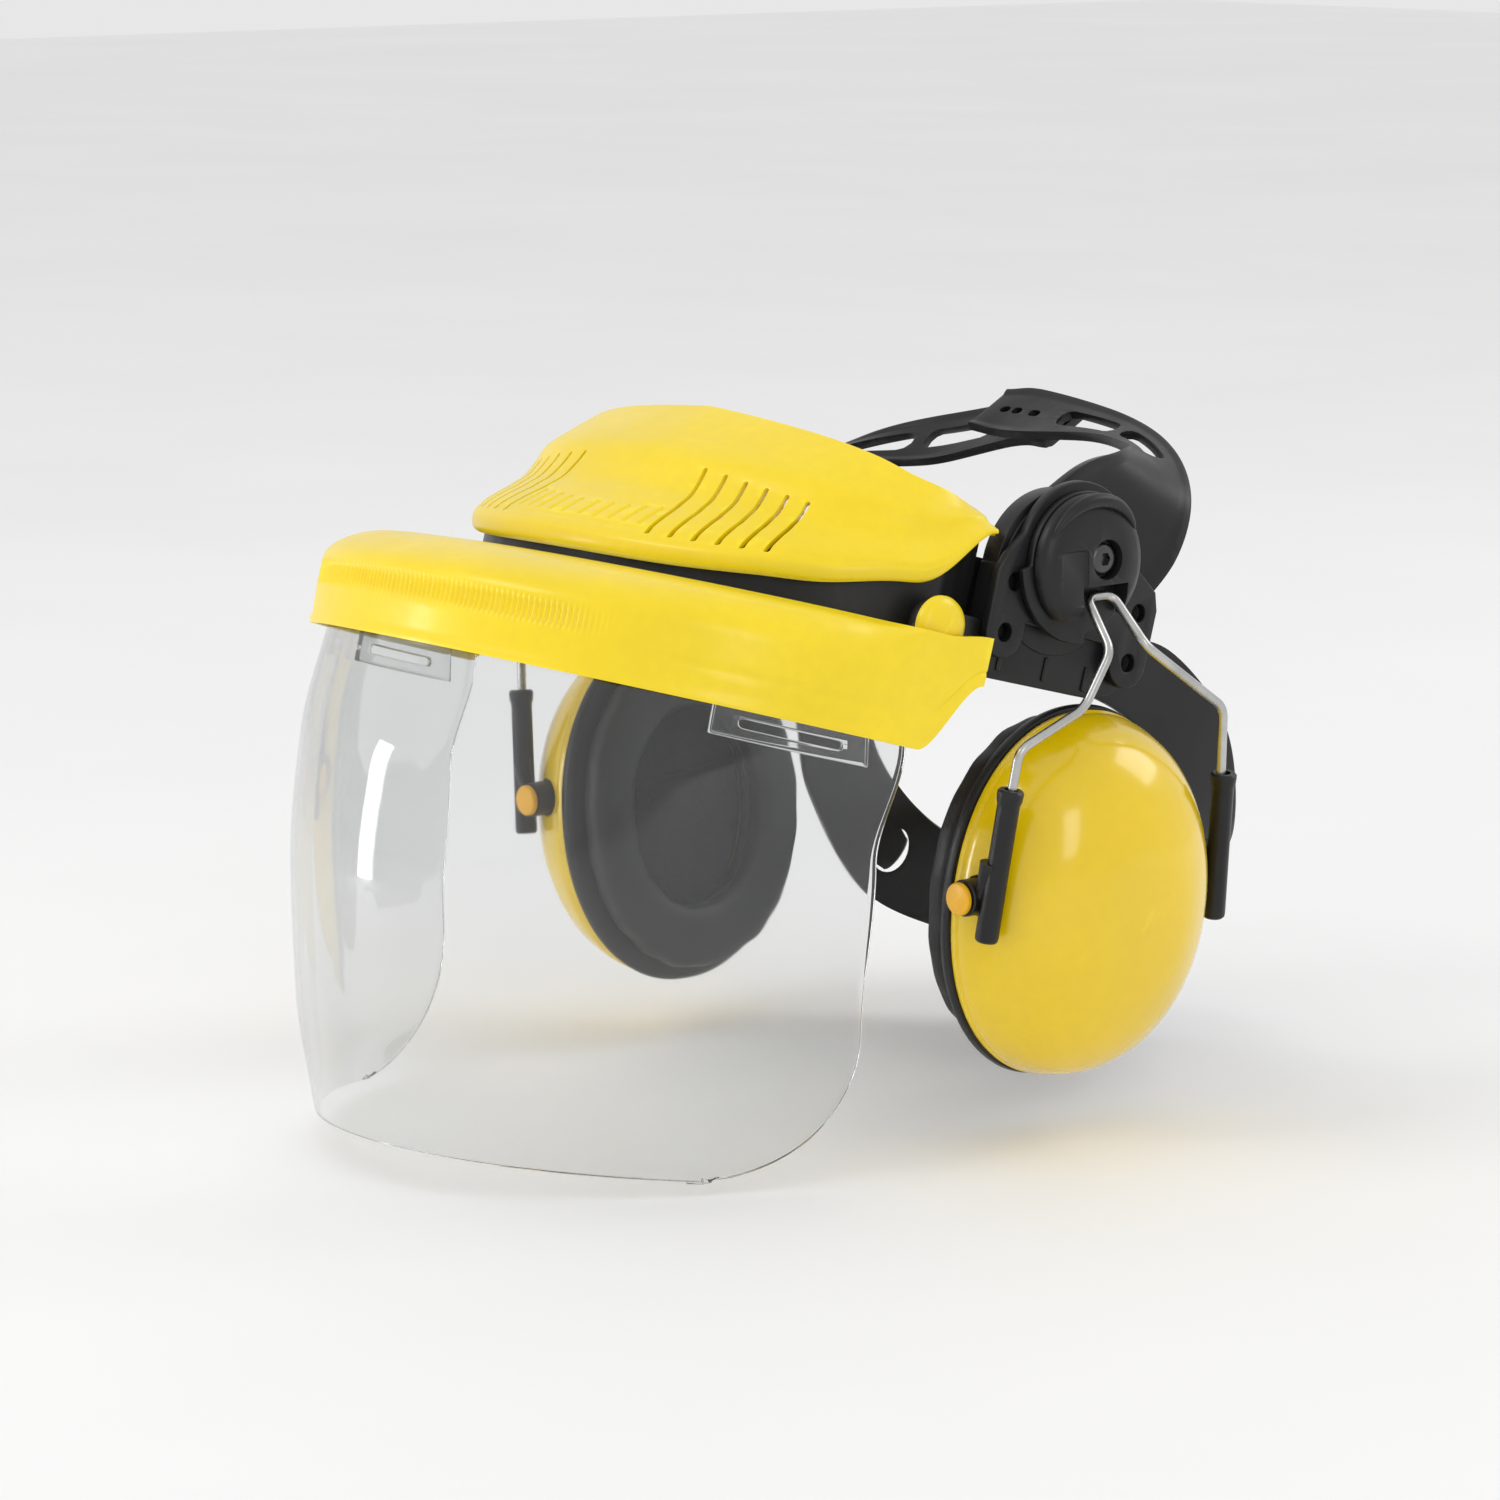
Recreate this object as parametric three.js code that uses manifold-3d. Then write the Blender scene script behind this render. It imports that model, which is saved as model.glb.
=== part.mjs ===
// Browguard headset: a black head harness that carries a yellow forehead cover, a hinged clear
// face shield and two ear cups on sprung wire arms. Units are millimetres, +Z is up, the wearer
// looks along -Y and the wearer's left is +X. The origin is midway between the two arm pivots.
import * as THREE from 'three';
import { mergeVertices } from 'three/addons/utils/BufferGeometryUtils.js';
import Module from 'manifold-3d';

const wasm = await Module();
wasm.setup();

// Driving dimensions
const GAP = 0.35;                 // clearance left between pieces that touch
const BROW_TILT = 16;             // degrees that the brow parts rise towards the front
const PLATE_INNER = 86;           // |X| of the side plate's inner face
const PLATE_OUTER = 93;
const BOSS = { y: -5, z: -7, radius: 24.5 }; // round boss of the side plate
const CAP = { y: -3.5, z: -1, radius: 20 };  // hub cap over the arm pivot
const ACCESSORY_THICK = 3;
const SCREW_HOLE = 2.7;           // radius of the hole for the hub screw
const COVER = { halfWidth: 92, front: -111, centre: -31, end: -31, power: 2.1 };
const FRAME_RIM = { halfWidth: 88.4, front: -107.6, centre: -31, end: -31, power: 2.1 };
const FRAME_BAND = { halfWidth: 80.5, front: -95, centre: -28, end: -31, power: 2.1 };
const SWEAT_FACE = { halfWidth: 80.1, front: -94.6, centre: -28, end: -31, power: 2.1 };
const BRIM = { halfWidth: 103, front: -161.5, centre: -60, end: -34, power: 2.1 };
const HINGE = { y: -49, z: -29 }; // visor hinge axis in the tilted brow frame
const SCREEN_BOTTOM = -169.2;     // at the screen's rear edge; it climbs towards the front
const CUP = { x: 101, z: -98, height: 106, width: 86, lean: 5 };
const PIVOT_Z = -91.2;            // height of the cup's pivot buttons
const WIRE_RADIUS = 1.35;
const SLEEVE_RADIUS = 3.75;
const SLEEVE_BORE = 2.6;
const SLEEVE_LENGTH = 44;
const NAPE = { y: 87.6, z: -131 };
const PINION = { teeth: 12, pitchRadius: 6 };

const YELLOW = { color: 0xf6d90c, roughness: 0.38, metalness: 0 };
const CUP_YELLOW = { color: 0xf2c80a, roughness: 0.22, metalness: 0 };
const BUTTON_ORANGE = { color: 0xf0b414, roughness: 0.3, metalness: 0 };
const BLACK = { color: 0x2c2c2f, roughness: 0.45, metalness: 0 };
const SOFT_BLACK = { color: 0x18181a, roughness: 0.6, metalness: 0 };
const FOAM_GREY = { color: 0x3a3a3c, roughness: 0.9, metalness: 0 };
const STEEL = { color: 0xb9bcc0, roughness: 0.25, metalness: 1 };
const CLEAR = { color: 0xf4f7f8, roughness: 0.05, metalness: 0, transparent: true, opacity: 0.3 };

const radians = THREE.MathUtils.degToRad;
const lerp = THREE.MathUtils.lerp;
const smooth = THREE.MathUtils.smoothstep;
const clamp = THREE.MathUtils.clamp;

// ---------- geometry helpers ----------

// A closed solid from vertices and triangles, turned so that its faces point out.
function solidFrom(points, triangles) {
  let volume = 0;
  for (const [a, b, c] of triangles) {
    volume += points[a].dot(new THREE.Vector3().crossVectors(points[b], points[c]));
  }
  const ordered = volume < 0 ? triangles.map(([a, b, c]) => [a, c, b]) : triangles;
  const geometry = new THREE.BufferGeometry();
  const positions = points.flatMap((point) => point.toArray());
  geometry.setAttribute('position', new THREE.Float32BufferAttribute(positions, 3));
  geometry.setIndex(ordered.flat());
  return geometry;
}

function gridTriangles(columns, rows, wrap, offset, index) {
  const triangles = [];
  const last = wrap ? columns : columns - 1;
  for (let i = 0; i < last; i += 1) {
    for (let j = 0; j < rows - 1; j += 1) {
      const [a, b] = [index(i, j, offset), index((i + 1) % columns, j, offset)];
      const [c, d] = [index((i + 1) % columns, j + 1, offset), index(i, j + 1, offset)];
      triangles.push([a, b, c], [a, c, d]);
    }
  }
  return triangles;
}

// A wall of even thickness that follows the surface at(u, v), u and v from 0 to 1.
// The wall grows from the surface against its normal, or along it where the thickness is negative.
function wall({ at, columns, rows, thickness, wrap = false }) {
  const step = 1e-3;
  const outer = [];
  const inner = [];
  for (let i = 0; i < columns; i += 1) {
    for (let j = 0; j < rows; j += 1) {
      const u = i / (wrap ? columns : columns - 1);
      const v = j / (rows - 1);
      const [u0, u1] = wrap ? [u - step, u + step] : [Math.max(u - step, 0), Math.min(u + step, 1)];
      const along = at(u1, v).sub(at(u0, v));
      const across = at(u, Math.min(v + step, 1)).sub(at(u, Math.max(v - step, 0)));
      const normal = along.cross(across).normalize();
      const point = at(u, v);
      const depth = typeof thickness === 'function' ? thickness(u, v) : thickness;
      outer.push(point);
      inner.push(point.clone().addScaledVector(normal, -depth));
    }
  }
  const count = outer.length;
  const index = (i, j, offset) => offset + i * rows + j;
  const triangles = gridTriangles(columns, rows, wrap, 0, index);
  for (const [a, b, c] of gridTriangles(columns, rows, wrap, count, index)) {
    triangles.push([a, c, b]);
  }
  const edge = (a, b) => triangles.push([a, a + count, b + count], [a, b + count, b]);
  for (let i = 0; i < (wrap ? columns : columns - 1); i += 1) {
    const next = (i + 1) % columns;
    edge(index(i, 0, 0), index(next, 0, 0));
    edge(index(next, rows - 1, 0), index(i, rows - 1, 0));
  }
  for (let j = 0; !wrap && j < rows - 1; j += 1) {
    edge(index(0, j + 1, 0), index(0, j, 0));
    edge(index(columns - 1, j, 0), index(columns - 1, j + 1, 0));
  }
  return solidFrom([...outer, ...inner], triangles);
}

// A solid whose cross sections are the given rings, each with the same number of points.
function stack(rings) {
  const count = rings[0].length;
  const points = rings.flat();
  const index = (i, j) => j * count + i;
  const triangles = gridTriangles(count, rings.length, true, 0, index);
  for (const [ring, flip] of [[0, false], [rings.length - 1, true]]) {
    const middle = rings[ring].reduce((sum, point) => sum.add(point), new THREE.Vector3());
    points.push(middle.divideScalar(count));
    for (let i = 0; i < count; i += 1) {
      const [a, b] = [index(i, ring), index((i + 1) % count, ring)];
      triangles.push(flip ? [a, b, points.length - 1] : [b, a, points.length - 1]);
    }
  }
  return solidFrom(points, triangles);
}

// A round bar swept along a path of points.
function bar(path, radius, sides) {
  const start = path[1].clone().sub(path[0]).normalize();
  let normal = new THREE.Vector3(0, 0, 1).cross(start);
  if (normal.length() < 0.1) {
    normal = new THREE.Vector3(0, 1, 0).cross(start);
  }
  const rings = path.map((point, i) => {
    const before = path[Math.max(i - 1, 0)];
    const after = path[Math.min(i + 1, path.length - 1)];
    const along = after.clone().sub(before).normalize();
    normal.addScaledVector(along, -normal.dot(along)).normalize();
    const side = along.clone().cross(normal);
    return Array.from({ length: sides }, (_, k) => {
      const angle = (2 * Math.PI * k) / sides;
      return point.clone().addScaledVector(normal, radius * Math.cos(angle))
        .addScaledVector(side, radius * Math.sin(angle));
    });
  });
  return stack(rings);
}

// A polyline with each inner corner rounded by a short quadratic curve.
function rounded(corners, reach, steps) {
  const path = [corners[0]];
  for (let i = 1; i < corners.length - 1; i += 1) {
    const [before, corner, after] = [corners[i - 1], corners[i], corners[i + 1]];
    const enter = corner.clone().add(before.clone().sub(corner).setLength(reach));
    const leave = corner.clone().add(after.clone().sub(corner).setLength(reach));
    path.push(...new THREE.QuadraticBezierCurve3(enter, corner, leave).getPoints(steps));
  }
  path.push(corners[corners.length - 1]);
  return path;
}

// A turned piece about an axis parallel to X, from [x, radius] pairs.
function turned(profile, sides, y = 0, z = 0) {
  const outline = profile.map(([x, radius]) => new THREE.Vector2(radius, x));
  return new THREE.LatheGeometry(outline, sides).rotateZ(-Math.PI / 2).translate(0, y, z);
}

function disc(radius, x0, x1, sides, y = 0, z = 0) {
  return turned([[x0, 0], [x0, radius], [x1, radius], [x1, 0]], sides, y, z);
}

// A flat outline in the YZ plane, given thickness from x0 to x1.
function plate(shape, x0, x1, curveSegments = 4) {
  const geometry = new THREE.ExtrudeGeometry(shape, { depth: x1 - x0, bevelEnabled: false, curveSegments });
  const turn = new THREE.Matrix4().makeBasis(
    new THREE.Vector3(0, 1, 0),
    new THREE.Vector3(0, 0, 1),
    new THREE.Vector3(1, 0, 0),
  );
  return geometry.applyMatrix4(turn).translate(x0, 0, 0);
}

function block(x0, x1, y0, y1, z0, z1) {
  return new THREE.BoxGeometry(x1 - x0, y1 - y0, z1 - z0)
    .translate((x0 + x1) / 2, (y0 + y1) / 2, (z0 + z1) / 2);
}

function roundedRectangle(y0, y1, z0, z1, radius) {
  const shape = new THREE.Shape();
  shape.absarc(y1 - radius, z1 - radius, radius, 0, Math.PI / 2);
  shape.absarc(y0 + radius, z1 - radius, radius, Math.PI / 2, Math.PI);
  shape.absarc(y0 + radius, z0 + radius, radius, Math.PI, 1.5 * Math.PI);
  shape.absarc(y1 - radius, z0 + radius, radius, 1.5 * Math.PI, 2 * Math.PI);
  shape.closePath();
  return shape;
}

function toManifold(geometry) {
  const bare = geometry.clone();
  bare.deleteAttribute('normal');
  bare.deleteAttribute('uv');
  const merged = mergeVertices(bare, 1e-4);
  return new wasm.Manifold(new wasm.Mesh({
    numProp: 3,
    vertProperties: new Float32Array(merged.attributes.position.array),
    triVerts: new Uint32Array(merged.index.array),
  }));
}

function fromManifold(body) {
  const mesh = body.getMesh();
  const geometry = new THREE.BufferGeometry();
  geometry.setAttribute('position', new THREE.BufferAttribute(mesh.vertProperties, 3));
  geometry.setIndex(new THREE.BufferAttribute(mesh.triVerts, 1));
  return geometry;
}

const joined = (first, ...others) => fromManifold(
  others.reduce((body, other) => body.add(toManifold(other)), toManifold(first)),
);
const cut = (first, ...tools) => fromManifold(
  tools.reduce((body, tool) => body.subtract(toManifold(tool)), toManifold(first)),
);

// The same shape on the other side of the X = 0 plane.
function mirrored(geometry) {
  const copy = geometry.index ? geometry.toNonIndexed() : geometry.clone();
  const position = copy.attributes.position;
  for (let i = 0; i < position.count; i += 1) {
    position.setX(i, -position.getX(i));
  }
  for (let i = 0; i < position.count; i += 3) {
    const swap = new THREE.Vector3().fromBufferAttribute(position, i + 1);
    const keep = new THREE.Vector3().fromBufferAttribute(position, i + 2);
    position.setXYZ(i + 1, ...keep.toArray());
    position.setXYZ(i + 2, ...swap.toArray());
  }
  copy.deleteAttribute('normal');
  copy.deleteAttribute('uv');
  return copy;
}

// ---------- assembly ----------

const headset = new THREE.Group();
const brow = new THREE.Group();       // everything tilted with the forehead
brow.rotation.x = -radians(BROW_TILT);
headset.add(brow);

function add(parent, name, geometry, finish) {
  const mesh = new THREE.Mesh(geometry, new THREE.MeshStandardMaterial(finish));
  mesh.name = name;
  parent.add(mesh);
}

// A left piece as drawn and its mirror image on the right.
function addPair(parent, name, geometry, finish) {
  add(parent, `${name}_left`, geometry, finish);
  add(parent, `${name}_right`, mirrored(geometry), finish);
}

// A U-shaped plan curve open to the rear. s runs from -1, the right end, to 1, the left end.
function horseshoe(s, { halfWidth, front, centre, end, power }) {
  const straight = Math.abs(end - centre);
  const bend = centre - front;
  const split = (bend + halfWidth) / (bend + halfWidth + straight);
  const turn = Math.min(Math.abs(s) / split, 1) * (Math.PI / 2);
  const side = Math.sign(s) * halfWidth * Math.sin(turn) ** (2 / power);
  const past = Math.max(Math.abs(s) / split - 1, 0) * split / Math.max(1 - split, 1e-9);
  return [side, centre - bend * Math.max(Math.cos(turn), 0) ** (2 / power) + straight * past];
}

const inset = (plan, depth, sideShare) => ({
  ...plan,
  halfWidth: plan.halfWidth - depth * sideShare,
  front: plan.front + depth,
});

// Value at v of a row of evenly spaced or keyed numbers [[v, value], ...].
function keyed(keys, v) {
  const next = keys.findIndex(([at]) => at >= v);
  if (next <= 0) {
    return keys[0][1];
  }
  const [[v0, a], [v1, b]] = [keys[next - 1], keys[next]];
  return lerp(a, b, (v - v0) / (v1 - v0));
}

// ---------- forehead cover ----------

const COVER_INSET = [
  [0, 0.6], [0.07, 0], [0.17, 1], [0.28, 7], [0.44, 18.6], [0.55, 22.5], [0.68, 26], [0.85, 36], [1, 46],
];
const COVER_TOP = [[0, 21], [0.33, 17.5], [0.53, 14.5], [0.7, 11], [0.85, 9], [1, 6]];
const COVER_LOW = -28.5;

// How far the cover's lower edge has climbed at a given Y on its way to the rear tips.
function coverRise(y) {
  return 3.5 * smooth(y, -111, -80) + 6 * smooth(y, -85, -55) + 19 * smooth(y, -62, -31) ** 2;
}

function coverSurface(u, v) {
  const s = 2 * u - 1;
  const depth = keyed(COVER_INSET, v);
  const [x, y] = horseshoe(s, { ...inset(COVER, depth, 0.24), power: lerp(COVER.power, 2.4, v) });
  const [, edge] = horseshoe(s, COVER);
  return new THREE.Vector3(x, y, lerp(COVER_LOW + coverRise(edge), keyed(COVER_TOP, Math.abs(s)), v));
}

function slantedSlot([x0, y0, z0], [x1, y1, z1], width, depth) {
  const low = new THREE.Vector3(x0, y0, z0);
  const along = new THREE.Vector3(x1, y1, z1).sub(low);
  const outward = new THREE.Vector3(x0, y0 - COVER.centre, 60).normalize();
  const side = along.clone().cross(outward).normalize();
  const out = side.clone().cross(along).normalize();
  const frame = new THREE.Matrix4().makeBasis(side, along.clone().normalize(), out);
  const middle = low.clone().addScaledVector(along, 0.5);
  return new THREE.BoxGeometry(width, along.length(), depth).applyMatrix4(frame)
    .translate(middle.x, middle.y, middle.z);
}

function foreheadCover() {
  const shell = wall({ at: coverSurface, columns: 25, rows: 7, thickness: 2.2 });
  const slots = [];
  for (const side of [-1, 1]) {
    for (let i = 0; i < 6; i += 1) {
      const low = side * (0.211 + 0.0544 * i);
      const high = side * (0.172 + 0.06 * i);
      slots.push(slantedSlot(
        coverSurface((low + 1) / 2, 0.19).toArray(),
        coverSurface((high + 1) / 2, 0.65 - 0.014 * i).toArray(),
        1.7,
        9,
      ));
    }
  }
  return cut(shell, ...slots);
}

add(brow, 'forehead_cover', foreheadCover(), YELLOW);

// ---------- front frame and sweatband ----------

// The frame's section: an outer rim under the cover, a shelf, and an inner band round the brow.
function frameSurface(u, v) {
  const s = 2 * u - 1;
  const [rimX, rimY] = horseshoe(s, FRAME_RIM);
  const [bandX, bandY] = horseshoe(s, FRAME_BAND);
  const share = keyed([[0, 0], [0.3, 0.03], [0.7, 0.97], [1, 1]], v);
  const y = lerp(rimY, bandY, share);
  const tuck = Math.sign(s) * 3.3 * smooth(rimY, -46, -34) * (1 - share);
  const floor = -44 + 10 * smooth(rimY, -95, -55);
  const rimTop = COVER_LOW + 4 + coverRise(rimY) - 7 * smooth(rimY, -54, -36);
  const z = keyed([[0, rimTop], [0.3, floor], [0.7, floor], [1, -15 + 8 * smooth(y, -92, -60)]], v);
  return new THREE.Vector3(lerp(rimX, bandX, share) - tuck, y, z);
}

add(brow, 'front_frame', wall({ at: frameSurface, columns: 21, rows: 6, thickness: -2.2 }), BLACK);

function sweatSurface(u, v) {
  const [x, y] = horseshoe(1.8 * u - 0.9, SWEAT_FACE);
  const back = smooth(y, -92, -60);
  return new THREE.Vector3(x, y, lerp(-40 + 8 * back, -14 + 8 * back, v));
}

add(brow, 'sweatband', wall({ at: sweatSurface, columns: 15, rows: 2, thickness: 6 }), FOAM_GREY);

// ---------- side plates, accessory plates and hubs ----------

function sidePlate() {
  const outline = new THREE.Shape();
  outline.moveTo(-30, -8);
  outline.lineTo(-30, -36);
  outline.quadraticCurveTo(-30, -39.5, -26, -39.5);
  outline.lineTo(16, -38.5);
  outline.quadraticCurveTo(24, -38, 30, -30);
  outline.lineTo(30, -8);
  const boss = turned([
    [PLATE_INNER, 0], [PLATE_INNER, BOSS.radius - 0.5], [PLATE_OUTER - 1.5, BOSS.radius],
    [PLATE_OUTER, BOSS.radius - 1.5], [PLATE_OUTER, 0],
  ], 28, BOSS.y, BOSS.z);
  const body = joined(boss, plate(outline, PLATE_INNER, PLATE_OUTER - 0.8));
  return cut(body, disc(2.6, PLATE_INNER + 1.5, PLATE_OUTER + 1, 10));
}

addPair(brow, 'side_plate', sidePlate(), BLACK);

const ACCESSORY_INNER = PLATE_OUTER + GAP;
const ACCESSORY_OUTER = ACCESSORY_INNER + ACCESSORY_THICK;

const LUG = { y: 24.6, holes: [-11.8, -26.2] };    // two holes in each lug

function accessoryPlate() {
  const centre = disc(CAP.radius + 1.5, ACCESSORY_INNER, ACCESSORY_OUTER, 24, CAP.y, CAP.z);
  const web = plate(roundedRectangle(-LUG.y, LUG.y, -22.5, -4, 3), ACCESSORY_INNER, ACCESSORY_OUTER, 3);
  const lugs = [-1, 1].map((side) => plate(
    roundedRectangle(side * LUG.y - 7, side * LUG.y + 7, LUG.holes[1] - 7.3, -3, 6.9),
    ACCESSORY_INNER,
    ACCESSORY_OUTER,
    3,
  ));
  const drill = (radius, y, z) => disc(radius, ACCESSORY_INNER - 1, ACCESSORY_OUTER + 1, 10, y, z);
  const holes = [-1, 1].flatMap((side) => LUG.holes.map((z) => drill(2.6, side * LUG.y, z)));
  return cut(joined(centre, web, ...lugs), ...holes, drill(SCREW_HOLE, 0, 0));
}

addPair(brow, 'accessory_plate', accessoryPlate(), BLACK);

const HUB_BASE_X = ACCESSORY_OUTER + GAP;
const HUB_CAP_X = HUB_BASE_X + 2.2 + GAP;
const AXLE_X = HUB_CAP_X + 2.1;
const AXLE_Z = -10.5;
const LEG_Y = 4.8;

function hubBase() {
  const body = disc(CAP.radius, HUB_BASE_X, HUB_BASE_X + 2.2, 24, CAP.y, CAP.z);
  const lobe = new THREE.Shape();
  lobe.moveTo(CAP.y, CAP.z);
  lobe.absarc(CAP.y, CAP.z, CAP.radius + 3, Math.PI, 1.5 * Math.PI);
  lobe.closePath();
  const whole = joined(body, plate(lobe, HUB_BASE_X, HUB_BASE_X + 2.2, 8));
  return cut(whole, disc(SCREW_HOLE, HUB_BASE_X - 1, HUB_CAP_X, 10));
}

function hubCap() {
  const dome = turned([
    [HUB_CAP_X, 0], [HUB_CAP_X, CAP.radius - 0.3], [HUB_CAP_X + 2.4, CAP.radius - 1],
    [HUB_CAP_X + 4.8, CAP.radius - 5], [HUB_CAP_X + 5.6, 9], [HUB_CAP_X + 5.6, 0],
  ], 20, CAP.y, CAP.z);
  const flat = block(HUB_CAP_X - 1, HUB_CAP_X + 9, -30, 30, -30, -16);
  const wireNotch = block(HUB_CAP_X - 1, HUB_CAP_X + 9, -8.5, 8.5, -20, -7);
  const screwSeat = disc(5.6, HUB_CAP_X + 2, HUB_CAP_X + 9, 14);
  const screwHole = disc(SCREW_HOLE, HUB_CAP_X - 1, HUB_CAP_X + 3, 10);
  return cut(dome, flat, wireNotch, screwSeat, screwHole);
}

function hubScrew() {
  return turned([
    [PLATE_INNER + 2, 0], [PLATE_INNER + 2, 2.2], [HUB_CAP_X + 2.4, 2.2], [HUB_CAP_X + 2.4, 4.6],
    [HUB_CAP_X + 4, 4.6], [HUB_CAP_X + 4.4, 4.2], [HUB_CAP_X + 4.4, 0],
  ], 12);
}

addPair(headset, 'hub_base', hubBase(), BLACK);
addPair(headset, 'hub_cap', hubCap(), BLACK);
addPair(headset, 'hub_screw', hubScrew(), STEEL);

// ---------- wire arms and sleeves ----------

const LEG_SPLAY = 4;                               // degrees outward from vertical, each leg
const LEG_LEAN = 8.5;                              // degrees inward towards the cheek
const FRONT_SLEEVE_TOP = new THREE.Vector3(110.6, -41.4, -59.5);
const SLEEVE_DROP = 5;                             // the rear sleeve hangs this much lower
const FRONT_KNEES = [[113.8, -7.2, -24], [114, -17.4, -39], [112.3, -40, -48.5]];
const REAR_KNEES = [[113.8, 6.5, -24], [112.3, 38.7, -45]];

const SLEEVE_X = FRONT_SLEEVE_TOP.x - Math.tan(radians(LEG_LEAN)) * (FRONT_SLEEVE_TOP.z - PIVOT_Z);
const PIVOT_X = SLEEVE_X - 8;                      // the eye stands inside the sleeve
const SLEEVE_Y = -FRONT_SLEEVE_TOP.y + Math.tan(radians(LEG_SPLAY)) * (FRONT_SLEEVE_TOP.z - PIVOT_Z);

function legDirection(side) {
  const splay = side * Math.tan(radians(LEG_SPLAY));
  return new THREE.Vector3(-Math.tan(radians(LEG_LEAN)), splay, -1).normalize();
}

function sleeveTop(side) {
  const top = FRONT_SLEEVE_TOP.clone();
  top.y *= -side;
  return side > 0 ? top.addScaledVector(legDirection(side), SLEEVE_DROP) : top;
}

// Corner points of one leg, from the axle in the hub to the end inside its sleeve.
function legCorners(side) {
  const top = sleeveTop(side);
  const out = legDirection(side);
  const axle = new THREE.Vector3(AXLE_X, side * LEG_Y, AXLE_Z);
  const knees = side > 0 ? REAR_KNEES : FRONT_KNEES;
  const end = top.clone().addScaledVector(out, SLEEVE_LENGTH / 2);
  return [axle, ...knees.map((knee) => new THREE.Vector3(...knee)), end];
}

function wireFork() {
  const corners = [...legCorners(-1).reverse(), ...legCorners(1)];
  return bar(rounded(corners, 2.2, 2), WIRE_RADIUS, 6);
}

const LUG_RADIUS = 5.2;                            // the sleeve's eye for the pivot button
const LUG_HALF = 4.1;

function sleeve(side) {
  const top = sleeveTop(side);
  const out = legDirection(side);
  const path = [0, SLEEVE_LENGTH].map((far) => top.clone().addScaledVector(out, far));
  const tube = bar(path, SLEEVE_RADIUS, 10);
  const boreEnds = [-3, SLEEVE_LENGTH - 2].map((far) => top.clone().addScaledVector(out, far));
  const lug = new THREE.CylinderGeometry(LUG_RADIUS, LUG_RADIUS, 2 * LUG_HALF, 12);
  const hole = new THREE.CylinderGeometry(2.35, 2.35, 30, 10);
  for (const piece of [lug, hole]) {
    piece.translate(PIVOT_X, side * SLEEVE_Y, PIVOT_Z);
  }
  const web = new THREE.BoxGeometry(SLEEVE_X - PIVOT_X, 4, 8)
    .translate((SLEEVE_X + PIVOT_X) / 2, side * (SLEEVE_Y + 1.2), PIVOT_Z);
  return cut(joined(tube, lug, web), bar(boreEnds, SLEEVE_BORE, 10), hole);
}

addPair(headset, 'wire_fork', wireFork(), STEEL);
addPair(headset, 'sleeve_front', sleeve(-1), BLACK);
addPair(headset, 'sleeve_rear', sleeve(1), BLACK);

// ---------- ear cups ----------

const cups = new THREE.Group();
headset.add(cups);

// An upright oval ring in the cup's own plane: scale 1 is the rim, x is the depth outward.
function cupRing(scale, x, points) {
  const lean = radians(CUP.lean);
  const squarish = (share) => Math.sign(share) * Math.abs(share) ** 0.9;
  return Array.from({ length: points }, (_, k) => {
    const angle = (2 * Math.PI * k) / points;
    const y = (CUP.width / 2) * scale * squarish(Math.cos(angle));
    const z = (CUP.height / 2) * scale * squarish(Math.sin(angle));
    return new THREE.Vector3(
      CUP.x + x * Math.cos(lean) + z * Math.sin(lean),
      y,
      CUP.z - x * Math.sin(lean) + z * Math.cos(lean),
    );
  });
}

const CUP_POINTS = 20;
const SHELL_BACK = -13;
const PLATE_BACK = -17.5;
const CUSHION_BACK = -28;
const DOME = [[1, SHELL_BACK], [1, -9], [0.955, -1], [0.84, 8], [0.63, 16], [0.32, 21], [0.06, 22]];
const CAVITY = [[0.93, SHELL_BACK - 1], [0.92, -6], [0.82, 4], [0.6, 12], [0.2, 16.8]];

function cupShell() {
  const shell = cut(
    stack(DOME.map(([scale, x]) => cupRing(scale, x, CUP_POINTS))),
    stack(CAVITY.map(([scale, x]) => cupRing(scale, x, CUP_POINTS))),
  );
  const along = (side, radius, from, to) => new THREE.CylinderGeometry(radius, radius, to - from, 12)
    .translate(PIVOT_X, side * (from + to) / 2, PIVOT_Z);
  const bossEnd = SLEEVE_Y - LUG_HALF - GAP;
  const bosses = [-1, 1].map((side) => along(side, LUG_RADIUS, 31.5, bossEnd));
  const bores = [-1, 1].map((side) => along(side, 2.3, 33.5, SLEEVE_Y));
  const clearance = [-1, 1].map((side) => along(side, LUG_RADIUS + 0.5, bossEnd, SLEEVE_Y + 5));
  return cut(joined(shell, ...bosses), ...bores, ...clearance);
}

function pivotButton(side) {
  const seat = SLEEVE_Y + LUG_HALF + GAP;
  const profile = [
    [35, 0], [35, 2], [seat, 2], [seat, 4.3], [seat + 1.55, 3.6], [seat + 2.35, 1.8], [seat + 2.55, 0],
  ];
  const outline = profile.map(([y, radius]) => new THREE.Vector2(radius, y));
  const button = new THREE.LatheGeometry(outline, 10);
  return button.rotateX(side > 0 ? 0 : Math.PI).translate(PIVOT_X, 0, PIVOT_Z);
}

function ovalRing(outer, inner, points) {
  return cut(
    stack(outer.map(([scale, x]) => cupRing(scale, x, points))),
    stack(inner.map(([scale, x]) => cupRing(scale, x, points))),
  );
}

function backPlate() {
  return ovalRing(
    [[1.01, SHELL_BACK - GAP], [1.02, -15], [1.0, PLATE_BACK]],
    [[0.62, SHELL_BACK + 1], [0.62, PLATE_BACK - 1]],
    CUP_POINTS,
  );
}

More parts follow.
